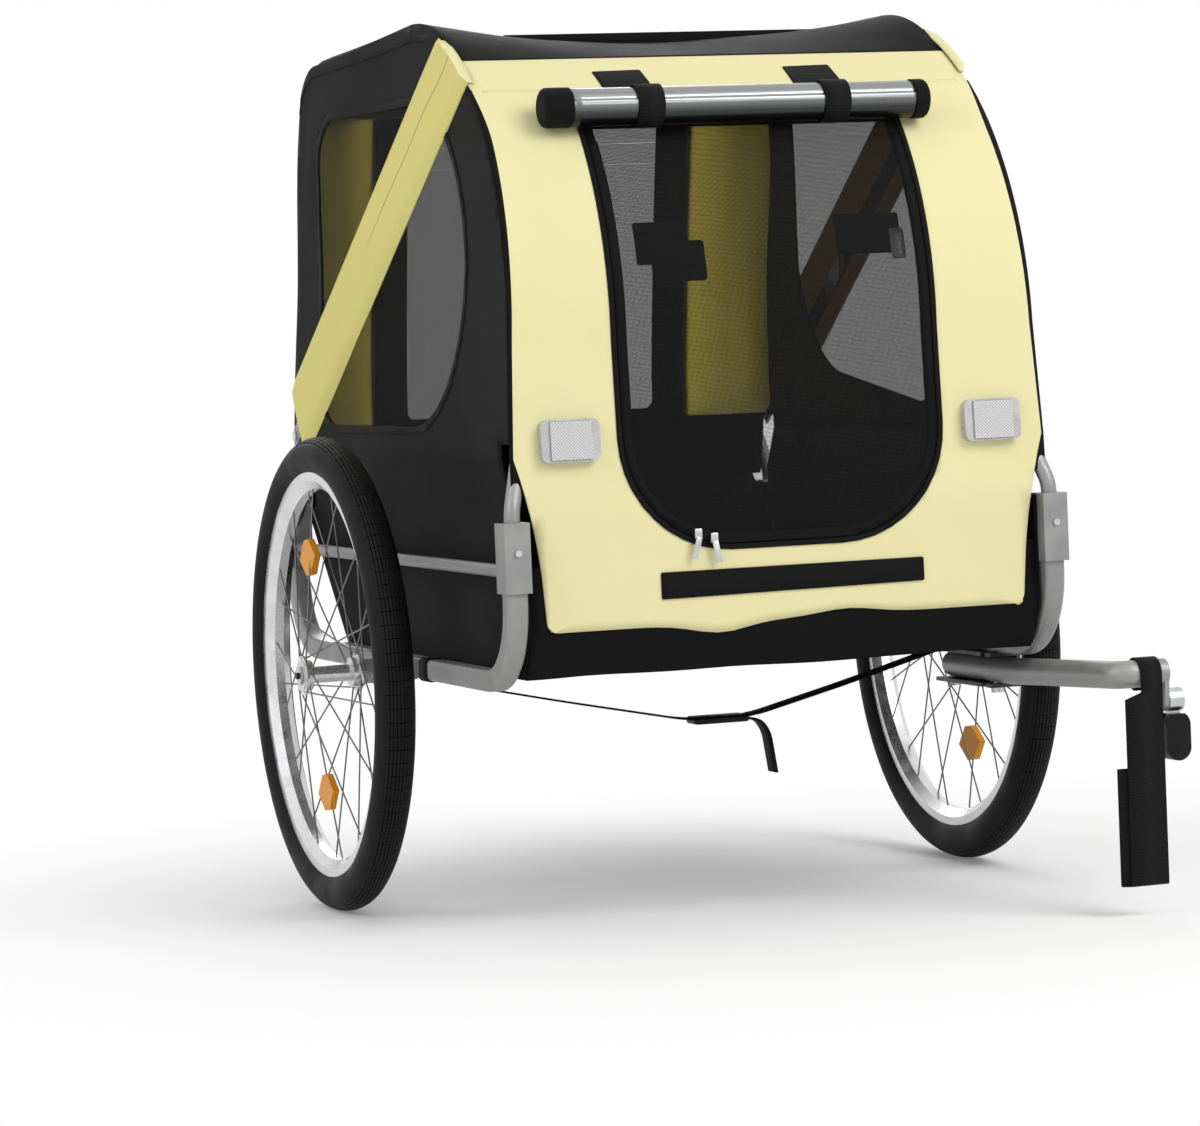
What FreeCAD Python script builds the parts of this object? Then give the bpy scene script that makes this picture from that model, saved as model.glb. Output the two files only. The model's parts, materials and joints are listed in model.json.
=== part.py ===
"""Two-wheeled dog trailer for a bicycle: steel tube frame, fabric cabin, side drawbar with a coupling.

Built with the axle line at Y = 0 and the ground at Z = 0, -Y to the front and +X to the trailer's left.
At the end every piece is moved along Y, so that the origin lies under the middle of the whole trailer.
"""
import FreeCAD
import Part
import math
import os

V = FreeCAD.Vector
X_AXIS = V(1, 0, 0)
Y_AXIS = V(0, 1, 0)
Z_AXIS = V(0, 0, 1)

# Clearances
SEAT_GAP = 0.3
RUN_GAP = 0.05
PIN_GAP = 0.1
OVERRUN = 5.0

# Wheels
WHEEL_RADIUS = 254.0
WHEEL_STANDOFF = 71.7
TYRE_SECTION_RADIUS = 21.0
BEAD_OVERHANG = 0.1
RIM_WIDTH = 27.0
RIM_DEPTH = 18.0
RIM_SHOULDER = 9.0
RIM_BASE_WIDTH = 10.0
RIM_WALL = 2.0
HUB_LENGTH = 66.0
HUB_FLANGE_SPAN = 60.0
HUB_FLANGE_RADIUS = 21.0
HUB_FLANGE_THICKNESS = 3.0
HUB_CUP_RADIUS = 16.0
HUB_CUP_LENGTH = 11.0
HUB_BARREL_RADIUS = 9.0
HUB_BORE_RADIUS = 7.0
BEARING_RADIUS = 14.0
BEARING_WIDTH = 8.0
AXLE_RADIUS = 6.0
AXLE_HEAD_RADIUS = 9.5
AXLE_HEAD_THICKNESS = 2.5
RELEASE_RADIUS = 3.5
RELEASE_LENGTH = 17.0
RELEASE_PROUD = 2.5
RELEASE_TRAVEL = 2.0
SPOKE_RADIUS = 0.9
SPOKES_PER_FLANGE = 14
SPOKE_CROSS_ANGLE = 62.0
SPOKE_HOLE_RADIUS = 18.2
SPOKE_STAGGER = 2.6
SPOKE_RIM_OFFSET = 3.0
SPOKE_RIM_STAGGER = 1.4
WHEEL_REFLECTOR_LENGTH = 58.0
WHEEL_REFLECTOR_HEIGHT = 38.0
WHEEL_REFLECTOR_THICKNESS = 7.0
WHEEL_REFLECTOR_RADIUS = 126.0
WHEEL_REFLECTOR_TILT = 7.0
WHEEL_REFLECTOR_NOSE_SHARE = 0.30

# Lower frame
FRAME_WIDTH = 584.0
FRONT_POST_Y = -420.0
REAR_POST_Y = 358.0
RAIL_Z = 262.0
RAIL_SIZE = 22.0
RAIL_CORNER = 5.0
RAIL_WALL = 1.5
RAIL_BEND = 80.0
AXLE_DROP = 8.0
UPRIGHT_TOP = 375.0
CROSS_TUBE_RADIUS = 7.0
CROSS_TUBE_RISE = 12.0
FRONT_CROSS_Y = -322.0
REAR_CROSS_Y = 190.0
UPPER_RAIL_RADIUS = 6.5
UPPER_RAIL_Z = 374.0

# Corner sleeves with their snap buttons
SLEEVE_WIDTH = 27.0
SLEEVE_DEPTH = 30.0
SLEEVE_BOTTOM = 353.0
SLEEVE_TOP = 423.0
SLEEVE_FIT = 0.2
BUTTON_Z = 393.0
BUTTON_RADIUS = 3.5
BUTTON_PROUD = 2.5
BUTTON_FLANGE_RADIUS = 4.5
BUTTON_FLANGE_THICKNESS = 1.5
BUTTON_SEAT_SHARE = 0.68
BUTTON_TRAVEL = 3.0

# Bows and side struts
BOW_RADIUS = 8.0
BOW_WALL = 1.5
BOW_FOOT_Z = 378.0
BOW_BEND_RISE = 10.0
BOW_LEAN_Z = 492.0
BOW_LEAN_IN = 17.5
FRONT_BOW_LEAN_BACK = 21.0
BOW_TOP_INSET = 31.0
BOW_WAIST_Z = 650.0
BOW_CORNER = 30.0
BOW_KNEE = 40.0
RIDGE_BAR_Y = -119.0
RIDGE_BAR_Z = 901.0
RIDGE_KNEE_Y = -172.0
REAR_BAR_Y = 296.0
REAR_BAR_Z = 866.0
REAR_WAIST_Y = 337.0
REAR_SHOULDER_Y = 310.5
REAR_SHOULDER_Z = 815.0
STRUT_LOW_Y = 350.0
STRUT_LOW_Z = 502.0
STRUT_HIGH_Y = -235.0
STRUT_HIGH_Z = 880.0
STRUT_END = 9.0
STRUT_WIDTH = 20.0
STRUT_THICKNESS = 3.0
RIVET_RADIUS = 3.0
RIVET_HEAD_RADIUS = 6.0
RIVET_HEAD = 1.6

# Cabin outline, seen from the side
CLOTH = 2.0
COVER_FRONT_Y = -421.0
COVER_REAR_Y = 373.0
COVER_KNEE_Z = 430.0
FRONT_BROW_Y = -411.0
FRONT_BROW_Z = 600.0
TOP_SEAM_Y = -244.0
TOP_SEAM_DROP = 48.0
FRONT_BULGE = 47.0
RIDGE_Y = -82.0
RIDGE_Z = 938.0
ROOF_SWELL_Y = -160.0
ROOF_SWELL_DROP = 9.0
REAR_TOP_Y = 254.0
REAR_TOP_DROP = 19.0
REAR_CORNER_Y = 290.0
REAR_CORNER_DROP = 33.0
REAR_BROW_Y = 308.0
REAR_BROW_DROP = 53.0
REAR_SWELL_Y = 343.0
REAR_SWELL_Z = 710.0
REAR_WAIST_OUT_Y = 367.0
REAR_WAIST_OUT_Z = 554.0
ROOF_SAG = 23.0
ROOF_HEM_Y = 302.6
ROOF_HEM_DROP = 45.5
ROOF_CLEAR = 7.0

# Cabin outline, seen from the front
SIDE_FOOT_INSET = 13.8
SIDE_KNEE_Z = 440.0
SIDE_HIP_INSET = 3.5
SIDE_HIP_Z = 485.0
SIDE_TOP_CLEAR = 10.0
SIDE_TOP_DROP = 13.0
POST_SLOT_BACK = 36.0
POST_SLOT_LOW = 421.0
POST_SLOT_HIGH = 500.0
PANEL_HEM_Z = 311.0
REAR_HEM_Z = 432.0
PANEL_HEM_INSET = 33.0
PANEL_LOW_INSET = 29.0
PANEL_LOW_Z = 365.0
PANEL_CURVE_INSET = 20.0
PANEL_CURVE_Z = 426.0
PANEL_HIP_INSET = 5.0
PANEL_TOP_CLEAR = 5.0
PANEL_TOP_Z = 888.0

# Doors
DOOR_HALF_WIDTH = 172.0
DOOR_BOTTOM = 389.0
DOOR_CORNER = 112.0
DOOR_HINGE_Z = 800.0
DOOR_HEADER = 24.0
DOOR_GAP = 1.5
REAR_DOOR_HALF_WIDTH = 160.0
REAR_DOOR_BOTTOM = 505.0
REAR_DOOR_CORNER = 24.0

# Side window, in the plane of the side panel
WINDOW_TOP = 859.0
WINDOW_BOTTOM = 510.0
WINDOW_REAR_TOP_Y = 243.0
WINDOW_REAR_LOW_Y = 258.0
WINDOW_NOSE_Y = -278.0
WINDOW_NOSE_Z = 684.0
WINDOW_FRONT_Y = -80.0
WINDOW_CORNER = 62.0
WINDOW_GAP = 0.3
WINDOW_ROUND_SHARE = 0.30

# Floor
TUB_BOTTOM = 264.0
TUB_RAIL_GAP = 5.2
TUB_FRONT_FOOT_Y = -398.0
TUB_REAR_FOOT_Y = 215.0
TUB_LIP_Z = 376.0
TUB_FOLD_Z = 309.0
TUB_REAR_LIP_Z = 480.0
BOARD_THICKNESS = 6.0
BOARD_TUB_GAP = 7.8
BOARD_FRONT_Y = -388.0
BOARD_REAR_Y = 226.0

# Yellow strut sleeves on the sides
WRAP_WIDTH = 80.0
WRAP_CROWN = 56.0
WRAP_PROUD = 3.3
WRAP_START = 30.0
WRAP_END = 60.0

# Rolled rain cover above the front door
ROLL_RADIUS = 20.0
ROLL_HALF_LENGTH = 210.0
ROLL_CENTRE_X = -9.0
ROLL_END_LENGTH = 29.0
ROLL_Z = 834.0
ROLL_STRAP_X = (-98.0, 105.0)
ROLL_STRAP_WIDTH = 28.0
ROLL_STRAP_THICKNESS = 2.0
ROLL_TAB_LENGTH = 34.0

# Front reflectors
REFLECTOR_INSET = 63.0
REFLECTOR_Z = 501.0
REFLECTOR_WIDTH = 62.0
REFLECTOR_HEIGHT = 43.0
REFLECTOR_DEPTH = 10.0
REFLECTOR_RIM = 9.0
REFLECTOR_CORNER = 8.0
LENS_PROUD = 2.5

# Axle brackets
BRACKET_PLATE = 4.0
BRACKET_HALF_LENGTH = 120.0
BRACKET_TOP_RISE = 10.0
BRACKET_END_DROP = 10.0
BRACKET_LOBE_DROP = 17.0
BRACKET_LOBE_HALF = 30.0
RECEIVER_RADIUS = 13.0
RECEIVER_END_GAP = 0.7
AXLE_BOTTOM_GAP = 0.5
BRACKET_BOLT_Y = 95.0
BOLT_RADIUS = 4.0
BOLT_HEAD_RADIUS = 7.0
BOLT_HEAD = 5.3
BOLT_GRIP = 16.0
HEXAGON_SIDES = 6

# Drawbar, its bracket and lock pin
DRAWBAR_RADIUS = 14.0
DRAWBAR_WALL = 1.8
DRAWBAR_INSET = 3.0
PIVOT_Y = -172.0
PIVOT_MARGIN = 15.0
LOCK_PIN_Y = -281.0
LOCK_PIN_MARGIN = 20.0
LOCK_PIN_RADIUS = 4.0
LOCK_PIN_HEAD_RADIUS = 7.0
LOCK_PIN_HEAD = 6.0
LOCK_SLOT_HALF = 5.8
DRAW_BRACKET_INNER = 16.0
DRAWBAR_BEND_Y = -320.0
DRAWBAR_END_Y = -575.0
DRAWBAR_END_Z = 243.0
DRAWBAR_ELBOW_REACH = 45.0
DRAWBAR_ELBOW = 16.0
DRAWBAR_EASE = 120.0
DRAWBAR_HOLLOW_START = 30.0

# Coupling at the drawbar's end
END_PLATE = 5.0
END_PLATE_HALF = 11.0
COUPLING_Z = 215.0
STUD_RADIUS = 5.0
STUD_LENGTH = 17.0
EYE_RADIUS = 12.0
EYE_LENGTH = 16.0
TONGUE_THICKNESS = 8.0
TONGUE_WIDTH = 13.0
TONGUE_DROP = 31.0
ARM_PIN_DROP = 25.0
ARM_PIN_RADIUS = 3.5
ARM_WIDTH = 27.0
ARM_DEPTH = 25.0
ARM_TOP_DROP = 14.0
ARM_BOTTOM_DROP = 61.0
ARM_SLOT_BOTTOM_DROP = 38.0
HITCH_BORE_RADIUS = 4.2
HITCH_BORE_DROP = 48.0

# Webbing straps
WEBBING = 2.5
SAFETY_STRAP_WIDTH = 41.0
SAFETY_STRAP_END_GAP = 5.5
SAFETY_STRAP_BOTTOM = 32.0
SAFETY_STRAP_TURN_UP = 150.0
SAFETY_STRAP_SHIFT = 9.0
UNDER_STRAP_Y = -140.0
UNDER_STRAP_WIDTH = 25.0
UNDER_STRAP_THICKNESS = 2.0
UNDER_STRAP_LOW_Z = 190.0
UNDER_STRAP_LOW_X = (-8.0, 58.0)
UNDER_STRAP_TAIL_X = 86.0
UNDER_STRAP_TAIL_Z = 127.0

# Places worked out from the sizes above
RAIL_X = FRAME_WIDTH / 2
WHEEL_X = RAIL_X + WHEEL_STANDOFF
BEAD_HALF_WIDTH = RIM_WIDTH / 2 + BEAD_OVERHANG
BEAD_RADIUS = WHEEL_RADIUS - TYRE_SECTION_RADIUS - math.sqrt(TYRE_SECTION_RADIUS ** 2 - BEAD_HALF_WIDTH ** 2)
RIM_BASE_RADIUS = BEAD_RADIUS - RIM_DEPTH
RAIL_OUTER = RAIL_X + RAIL_SIZE / 2
RAIL_INNER = RAIL_X - RAIL_SIZE / 2
RAIL_UNDERSIDE = RAIL_Z - RAIL_SIZE / 2
AXLE_Z = RAIL_Z - AXLE_DROP
BOW_TOP_HALF_WIDTH = RAIL_X - BOW_TOP_INSET
ROOF_HALF_WIDTH = BOW_TOP_HALF_WIDTH + ROOF_CLEAR
SIDE_FOOT_X = RAIL_X - SIDE_FOOT_INSET
SIDE_HIP_X = RAIL_X - SIDE_HIP_INSET
SIDE_TOP_X = BOW_TOP_HALF_WIDTH + SIDE_TOP_CLEAR
PANEL_HEM_HALF = RAIL_X - PANEL_HEM_INSET
PANEL_LOW_HALF = RAIL_X - PANEL_LOW_INSET
PANEL_CURVE_HALF = RAIL_X - PANEL_CURVE_INSET
PANEL_HIP_HALF = RAIL_X - PANEL_HIP_INSET
PANEL_TOP_HALF = BOW_TOP_HALF_WIDTH + PANEL_TOP_CLEAR
TUB_HALF_WIDTH = RAIL_INNER - TUB_RAIL_GAP
BOARD_HALF_WIDTH = TUB_HALF_WIDTH - BOARD_TUB_GAP
REFLECTOR_X = RAIL_X - REFLECTOR_INSET
BRACKET_TOP_Z = RAIL_Z + BRACKET_TOP_RISE
BRACKET_END_Z = RAIL_Z - BRACKET_END_DROP
BRACKET_LOBE_Z = AXLE_Z - BRACKET_LOBE_DROP
DRAWBAR_X = RAIL_X - DRAWBAR_INSET
DRAWBAR_END_X = DRAWBAR_X + DRAWBAR_ELBOW_REACH
SAFETY_STRAP_END_X = DRAWBAR_END_X - SAFETY_STRAP_END_GAP
TOP_SEAM_Z = RIDGE_Z - TOP_SEAM_DROP
ROOF_SWELL_Z = RIDGE_Z - ROOF_SWELL_DROP
REAR_TOP_Z = RIDGE_Z - REAR_TOP_DROP
REAR_CORNER_Z = RIDGE_Z - REAR_CORNER_DROP
REAR_BROW_Z = RIDGE_Z - REAR_BROW_DROP
ROOF_HEM_Z = RIDGE_Z - ROOF_HEM_DROP
SIDE_TOP_Z = RIDGE_Z - SIDE_TOP_DROP
DOOR_TOP = DOOR_HINGE_Z + DOOR_HEADER
CROSS_TUBE_Z = RAIL_Z + CROSS_TUBE_RISE
BOARD_BOTTOM = CROSS_TUBE_Z + CROSS_TUBE_RADIUS
INSET_BOW = CLOTH + BOW_RADIUS + SEAT_GAP * 3
SIDES = (("left", 1), ("right", -1))
CORNERS = (
    ("front_left", 1, FRONT_POST_Y, -1),
    ("front_right", -1, FRONT_POST_Y, -1),
    ("rear_left", 1, REAR_POST_Y, 1),
    ("rear_right", -1, REAR_POST_Y, 1),
)
BRACKET_OUTER = RAIL_OUTER + BRACKET_PLATE
HUB_INNER_END = WHEEL_X - HUB_LENGTH / 2
HUB_OUTER_END = WHEEL_X + HUB_LENGTH / 2
DRAW_PLATE_UNDERSIDE = RAIL_UNDERSIDE - BRACKET_PLATE
DRAWBAR_Z = DRAW_PLATE_UNDERSIDE - SEAT_GAP - DRAWBAR_RADIUS
LOWER_PLATE_TOP = DRAWBAR_Z - DRAWBAR_RADIUS - SEAT_GAP
LOWER_PLATE_UNDERSIDE = LOWER_PLATE_TOP - BRACKET_PLATE
ARM_X = DRAWBAR_END_X + END_PLATE + EYE_LENGTH / 2


# Small building blocks
def line(a, b):
    return Part.LineSegment(a, b).toShape()


def arc(a, middle, b):
    return Part.Arc(a, middle, b).toShape()


def polygon_face(points):
    return Part.Face(Part.makePolygon(list(points) + [points[0]]))


def box(x0, x1, y0, y1, z0, z1):
    return Part.makeBox(x1 - x0, y1 - y0, z1 - z0, V(x0, y0, z0))


def rod(start, end, radius):
    """A solid cylinder between two points."""
    return Part.makeCylinder(radius, (end - start).Length, start, end - start)


def rounded_path(points, radii):
    """Straight runs joined by tangent arcs, one radius for each inner point."""
    edges = []
    start = points[0]
    for before, corner, after, radius in zip(points, points[1:], points[2:], radii):
        come = (corner - before).normalize()
        leave = (after - corner).normalize()
        half_turn = come.getAngle(leave) / 2
        reach = radius * math.tan(half_turn)
        first = corner - come * reach
        last = corner + leave * reach
        inward = (leave - come).normalize()
        middle = corner + inward * (radius / math.cos(half_turn) - radius)
        edges.append(line(start, first))
        edges.append(arc(first, middle, last))
        start = last
    edges.append(line(start, points[-1]))
    return Part.Wire(edges)


def swept(path, profile):
    return path.makePipeShell([profile], True, False)


def round_profile(path, radius):
    start = path.OrderedEdges[0].valueAt(path.OrderedEdges[0].FirstParameter)
    direction = path.OrderedEdges[0].tangentAt(path.OrderedEdges[0].FirstParameter)
    return Part.Wire(Part.makeCircle(radius, start, direction))


def tube(path, radius, wall):
    """A round tube along a path, open at both ends."""
    outer = swept(path, round_profile(path, radius))
    return outer.cut(swept(path, round_profile(path, radius - wall)))


def edges_along(block, axis):
    """The edges of a block that run along an axis."""
    return [edge for edge in block.Edges if edge.tangentAt(edge.FirstParameter).cross(axis).Length < PIN_GAP]


def rounded_square(centre, size, corner):
    """A square outline with round corners in the XY plane."""
    sheet = Part.makeBox(size, size, size, centre - V(size / 2, size / 2, 0))
    block = sheet.makeFillet(corner, edges_along(sheet, Z_AXIS))
    lowest = min(block.Faces, key=lambda face: face.CenterOfMass.z)
    return lowest.OuterWire


def mirrored(shape):
    return shape.mirror(V(0, 0, 0), X_AXIS)


def on_side(shape, side):
    return shape if side > 0 else mirrored(shape)


def ring(points):
    """A solid of revolution about the X axis, from points given as (x, radius)."""
    face = polygon_face([V(x, 0, radius) for x, radius in points])
    return face.revolve(V(0, 0, 0), X_AXIS, 360)


# The cabin's cloth, as seen from the side
def front_bulge_point():
    """The middle of the round brow between the front wall and the top seam."""
    low = V(0, FRONT_BROW_Y, FRONT_BROW_Z)
    high = V(0, TOP_SEAM_Y, TOP_SEAM_Z)
    along = (high - low).normalize()
    return (low + high) * (1 / 2) + V(0, -along.z, along.y) * FRONT_BULGE


def cover_face(inset):
    """The cabin's side outline in the plane X = 0, drawn in by the inset."""
    corners = [
        V(0, COVER_FRONT_Y, TUB_FOLD_Z),
        V(0, COVER_FRONT_Y, COVER_KNEE_Z),
        V(0, FRONT_BROW_Y, FRONT_BROW_Z),
        V(0, TOP_SEAM_Y, TOP_SEAM_Z),
        V(0, RIDGE_Y, RIDGE_Z),
        V(0, REAR_TOP_Y, REAR_TOP_Z),
        V(0, REAR_BROW_Y, REAR_BROW_Z),
        V(0, REAR_WAIST_OUT_Y, REAR_WAIST_OUT_Z),
        V(0, COVER_REAR_Y, COVER_KNEE_Z),
        V(0, TUB_REAR_FOOT_Y, TUB_BOTTOM),
        V(0, TUB_FRONT_FOOT_Y, TUB_BOTTOM),
    ]
    swells = {
        2: front_bulge_point(),
        3: V(0, ROOF_SWELL_Y, ROOF_SWELL_Z),
        5: V(0, REAR_CORNER_Y, REAR_CORNER_Z),
        6: V(0, REAR_SWELL_Y, REAR_SWELL_Z),
    }
    edges = []
    for index, corner in enumerate(corners):
        following = corners[(index + 1) % len(corners)]
        if index in swells:
            edges.append(arc(corner, swells[index], following))
        else:
            edges.append(line(corner, following))
    wire = Part.Wire(edges)
    return Part.Face(wire.makeOffset2D(-inset) if inset else wire)


def cover_skin(half_width, outer_inset, inner_inset):
    """A skin of cloth round the cabin's side outline, between two insets."""
    band = cover_face(outer_inset).cut(cover_face(inner_inset))
    skin = band.extrude(V(2 * half_width, 0, 0))
    skin.translate(V(-half_width, 0, 0))
    return skin


def wall_outline():
    """The outline of the front and rear walls, seen from the front: drawn in at the corner sleeves."""
    half = [
        V(PANEL_HEM_HALF, 0, PANEL_HEM_Z),
        V(PANEL_LOW_HALF, 0, PANEL_LOW_Z),
        V(PANEL_HIP_HALF, 0, SIDE_HIP_Z),
        V(PANEL_TOP_HALF, 0, PANEL_TOP_Z),
    ]
    curve = V(PANEL_CURVE_HALF, 0, PANEL_CURVE_Z)

    def other(point):
        return V(-point.x, 0, point.z)

    edges = [
        line(half[0], half[1]),
        arc(half[1], curve, half[2]),
        line(half[2], half[3]),
        line(half[3], other(half[3])),
        line(other(half[3]), other(half[2])),
        arc(other(half[2]), other(curve), other(half[1])),
        line(other(half[1]), other(half[0])),
        line(other(half[0]), half[0]),
    ]
    return Part.Face(Part.Wire(edges))


FRONT_DOOR = (DOOR_HALF_WIDTH, DOOR_BOTTOM, DOOR_CORNER)
REAR_DOOR = (REAR_DOOR_HALF_WIDTH, REAR_DOOR_BOTTOM, REAR_DOOR_CORNER)


def door_outline(door, gap, top):
    """A door opening, seen from the front: square above and round below."""
    half = door[0] - gap
    bottom = door[1] + gap
    radius = door[2] - gap
    slant = radius * (1 - math.sqrt(1 / 2))
    edges = [
        line(V(-half, 0, top), V(half, 0, top)),
        line(V(half, 0, top), V(half, 0, bottom + radius)),
        arc(V(half, 0, bottom + radius), V(half - slant, 0, bottom + slant), V(half - radius, 0, bottom)),
        line(V(half - radius, 0, bottom), V(radius - half, 0, bottom)),
        arc(V(radius - half, 0, bottom), V(slant - half, 0, bottom + slant), V(-half, 0, bottom + radius)),
        line(V(-half, 0, bottom + radius), V(-half, 0, top)),
    ]
    return Part.Face(Part.Wire(edges))


def through(face, y0, y1):
    """A prism of an outline in the XZ plane, from y0 to y1."""
    prism = face.extrude(V(0, y1 - y0, 0))
    prism.translate(V(0, y0, 0))
    return prism


FRONT_RANGE = (COVER_FRONT_Y - OVERRUN, RIDGE_Y)
REAR_RANGE = (RIDGE_Y, COVER_REAR_Y + OVERRUN)


def end_skin():
    return cover_skin(PANEL_HIP_HALF + OVERRUN, 0, CLOTH)


def end_wall(skin, y_range, door):
    wall = skin.common(through(wall_outline(), *y_range))
    return wall.cut(through(door_outline(door, 0, DOOR_TOP), *y_range))


def rear_panel(skin):
    """The rear wall, which ends where the tub's slope begins."""
    wall = end_wall(skin, REAR_RANGE, REAR_DOOR)
    half = PANEL_HIP_HALF + OVERRUN
    return wall.common(box(-half, half, *REAR_RANGE, REAR_HEM_Z, TOP_SEAM_Z))


def door_leaf(skin, y_range, door):
    """The part of a door that swings, below its hinge line."""
    return skin.common(through(door_outline(door, DOOR_GAP, DOOR_HINGE_Z - SEAT_GAP / 2), *y_range))


def door_header(skin, y_range, door):
    """The sewn strip that the door hangs from, above its hinge line."""
    opening = through(door_outline(door, SEAT_GAP, DOOR_TOP - SEAT_GAP), *y_range)
    above = box(-DOOR_HALF_WIDTH, DOOR_HALF_WIDTH, *y_range, DOOR_HINGE_Z + SEAT_GAP / 2, DOOR_TOP)
    return skin.common(opening).common(above)


def side_height_x(z):
    """The side panel's outer X between its hip and its top."""
    return SIDE_HIP_X + (SIDE_TOP_X - SIDE_HIP_X) * (z - SIDE_HIP_Z) / (SIDE_TOP_Z - SIDE_HIP_Z)


def side_sheet(outward):
    """The side panel's bent sheet, as long as the cabin, moved outward by the given distance."""
    outer = [
        (SIDE_FOOT_X + outward, TUB_BOTTOM),
        (SIDE_FOOT_X + outward, SIDE_KNEE_Z),
        (SIDE_HIP_X + outward, SIDE_HIP_Z),
        (SIDE_TOP_X + outward, SIDE_TOP_Z),
    ]
    inner = [(x - CLOTH, z) for x, z in reversed(outer)]
    face = polygon_face([V(x, COVER_FRONT_Y, z) for x, z in outer + inner])
    return face.extrude(V(0, COVER_REAR_Y - COVER_FRONT_Y, 0))


def window_outline(gap):
    """The side window: a flat rear edge, round corners and a long round nose to the front."""
    top = WINDOW_TOP - gap
    bottom = WINDOW_BOTTOM + gap
    nose = V(0, WINDOW_NOSE_Y + gap, WINDOW_NOSE_Z)
    corner = WINDOW_CORNER
    cut = corner * WINDOW_ROUND_SHARE
    rear_top = WINDOW_REAR_TOP_Y - gap
    rear_low = WINDOW_REAR_LOW_Y - gap
    bulge = math.sqrt(1 / 2)
    reach = WINDOW_FRONT_Y - nose.y
    high = V(0, WINDOW_FRONT_Y, top)
    low = V(0, WINDOW_FRONT_Y, bottom)
    high_middle = V(0, WINDOW_FRONT_Y - reach * bulge, WINDOW_NOSE_Z + (top - WINDOW_NOSE_Z) * bulge)
    low_middle = V(0, WINDOW_FRONT_Y - reach * bulge, WINDOW_NOSE_Z - (WINDOW_NOSE_Z - bottom) * bulge)
    edges = [
        line(high, V(0, rear_top - corner, top)),
        arc(V(0, rear_top - corner, top), V(0, rear_top - cut, top - cut), V(0, rear_top, top - corner)),
        line(V(0, rear_top, top - corner), V(0, rear_low, bottom + corner)),
        arc(V(0, rear_low, bottom + corner), V(0, rear_low - cut, bottom + cut),
            V(0, rear_low - corner, bottom)),
        line(V(0, rear_low - corner, bottom), low),
        arc(low, low_middle, nose),
        arc(nose, high_middle, high),
    ]
    return Part.Face(Part.Wire(edges))


def across(face):
    """A prism of an outline in the YZ plane, from the middle of the trailer out past its left side."""
    return face.extrude(V(WHEEL_X, 0, 0))


def strut_line():
    """The two ends of the left strut's centre line, clear of the side panel."""
    clear = STRUT_THICKNESS / 2 + SEAT_GAP
    low = V(side_height_x(STRUT_LOW_Z) + clear, STRUT_LOW_Y, STRUT_LOW_Z)
    high = V(side_height_x(STRUT_HIGH_Z) + clear, STRUT_HIGH_Y, STRUT_HIGH_Z)
    return low, high


def rivet_ends(point):
    """A rivet's two ends: in the middle of the bow's leg, and out through the strut."""
    outer = point.x + STRUT_THICKNESS / 2 + SEAT_GAP
    return V(BOW_TOP_HALF_WIDTH, point.y, point.z), V(outer, point.y, point.z)


def rivet_holes(radius):
    return [rod(*rivet_ends(point), radius) for point in strut_line()]


def cross_tube_places():
    return (FRONT_CROSS_Y, 0, REAR_CROSS_Y)


def side_panel():
    sheet = side_sheet(0).common(across(cover_face(CLOTH + SEAT_GAP)))
    sheet = sheet.cut(across(window_outline(0)))
    heights = (POST_SLOT_LOW, POST_SLOT_HIGH)
    front_slot = box(0, SIDE_HIP_X, COVER_FRONT_Y, FRONT_POST_Y + POST_SLOT_BACK, *heights)
    rear_slot = box(0, SIDE_HIP_X, REAR_POST_Y - POST_SLOT_BACK, COVER_REAR_Y, *heights)
    sheet = sheet.cut(front_slot).cut(rear_slot)
    for y in cross_tube_places():
        centre = V(0, y, CROSS_TUBE_Z)
        sheet = sheet.cut(rod(centre, centre + X_AXIS * RAIL_X, CROSS_TUBE_RADIUS + SEAT_GAP))
    for hole in rivet_holes(RIVET_RADIUS + SEAT_GAP):
        sheet = sheet.cut(hole)
    return sheet


def side_window():
    return side_sheet(0).common(across(window_outline(WINDOW_GAP)))


def roof_wire(x, sag):
    """One cross-section of the roof sheet, from the top seam back to the rear bar."""
    seam = V(x, TOP_SEAM_Y, TOP_SEAM_Z + SEAT_GAP)
    swell = V(x, ROOF_SWELL_Y, ROOF_SWELL_Z - sag)
    ridge = V(x, RIDGE_Y, RIDGE_Z - sag)
    rear = V(x, REAR_TOP_Y, REAR_TOP_Z - sag)
    corner = V(x, REAR_CORNER_Y, REAR_CORNER_Z - sag)
    hem = V(x, ROOF_HEM_Y, ROOF_HEM_Z)
    under = V(0, 0, -CLOTH)
    return Part.Wire([
        arc(seam, swell, ridge),
        line(ridge, rear),
        arc(rear, corner, hem),
        line(hem, hem + under),
        arc(hem + under, corner + under, rear + under),
        line(rear + under, ridge + under),
        arc(ridge + under, swell + under, seam + under),
        line(seam + under, seam),
    ])


def roof_panel():
    sections = [roof_wire(-ROOF_HALF_WIDTH, 0), roof_wire(0, ROOF_SAG), roof_wire(ROOF_HALF_WIDTH, 0)]
    return Part.makeLoft(sections, True, False)


def strut_prism(before, after, low_half, high_half, under, over):
    """A bar along the left strut's line, as far past its two ends as given.

    It is low_half to each side of the line on its inner face, which lies under below the line,
    and high_half to each side on its outer face, which lies over above it.
    """
    low, high = strut_line()
    along = (high - low).normalize()
    flat = V(SIDE_TOP_X - SIDE_HIP_X, 0, SIDE_TOP_Z - SIDE_HIP_Z).normalize()
    outward = V(flat.z, 0, -flat.x)
    wide = outward.cross(along).normalize()
    start = low - along * before
    inner = start - outward * under
    outer = start + outward * over
    section = polygon_face([
        inner - wide * low_half,
        inner + wide * low_half,
        outer + wide * high_half,
        outer - wide * high_half,
    ])
    return section.extrude(high + along * after - start)


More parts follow.
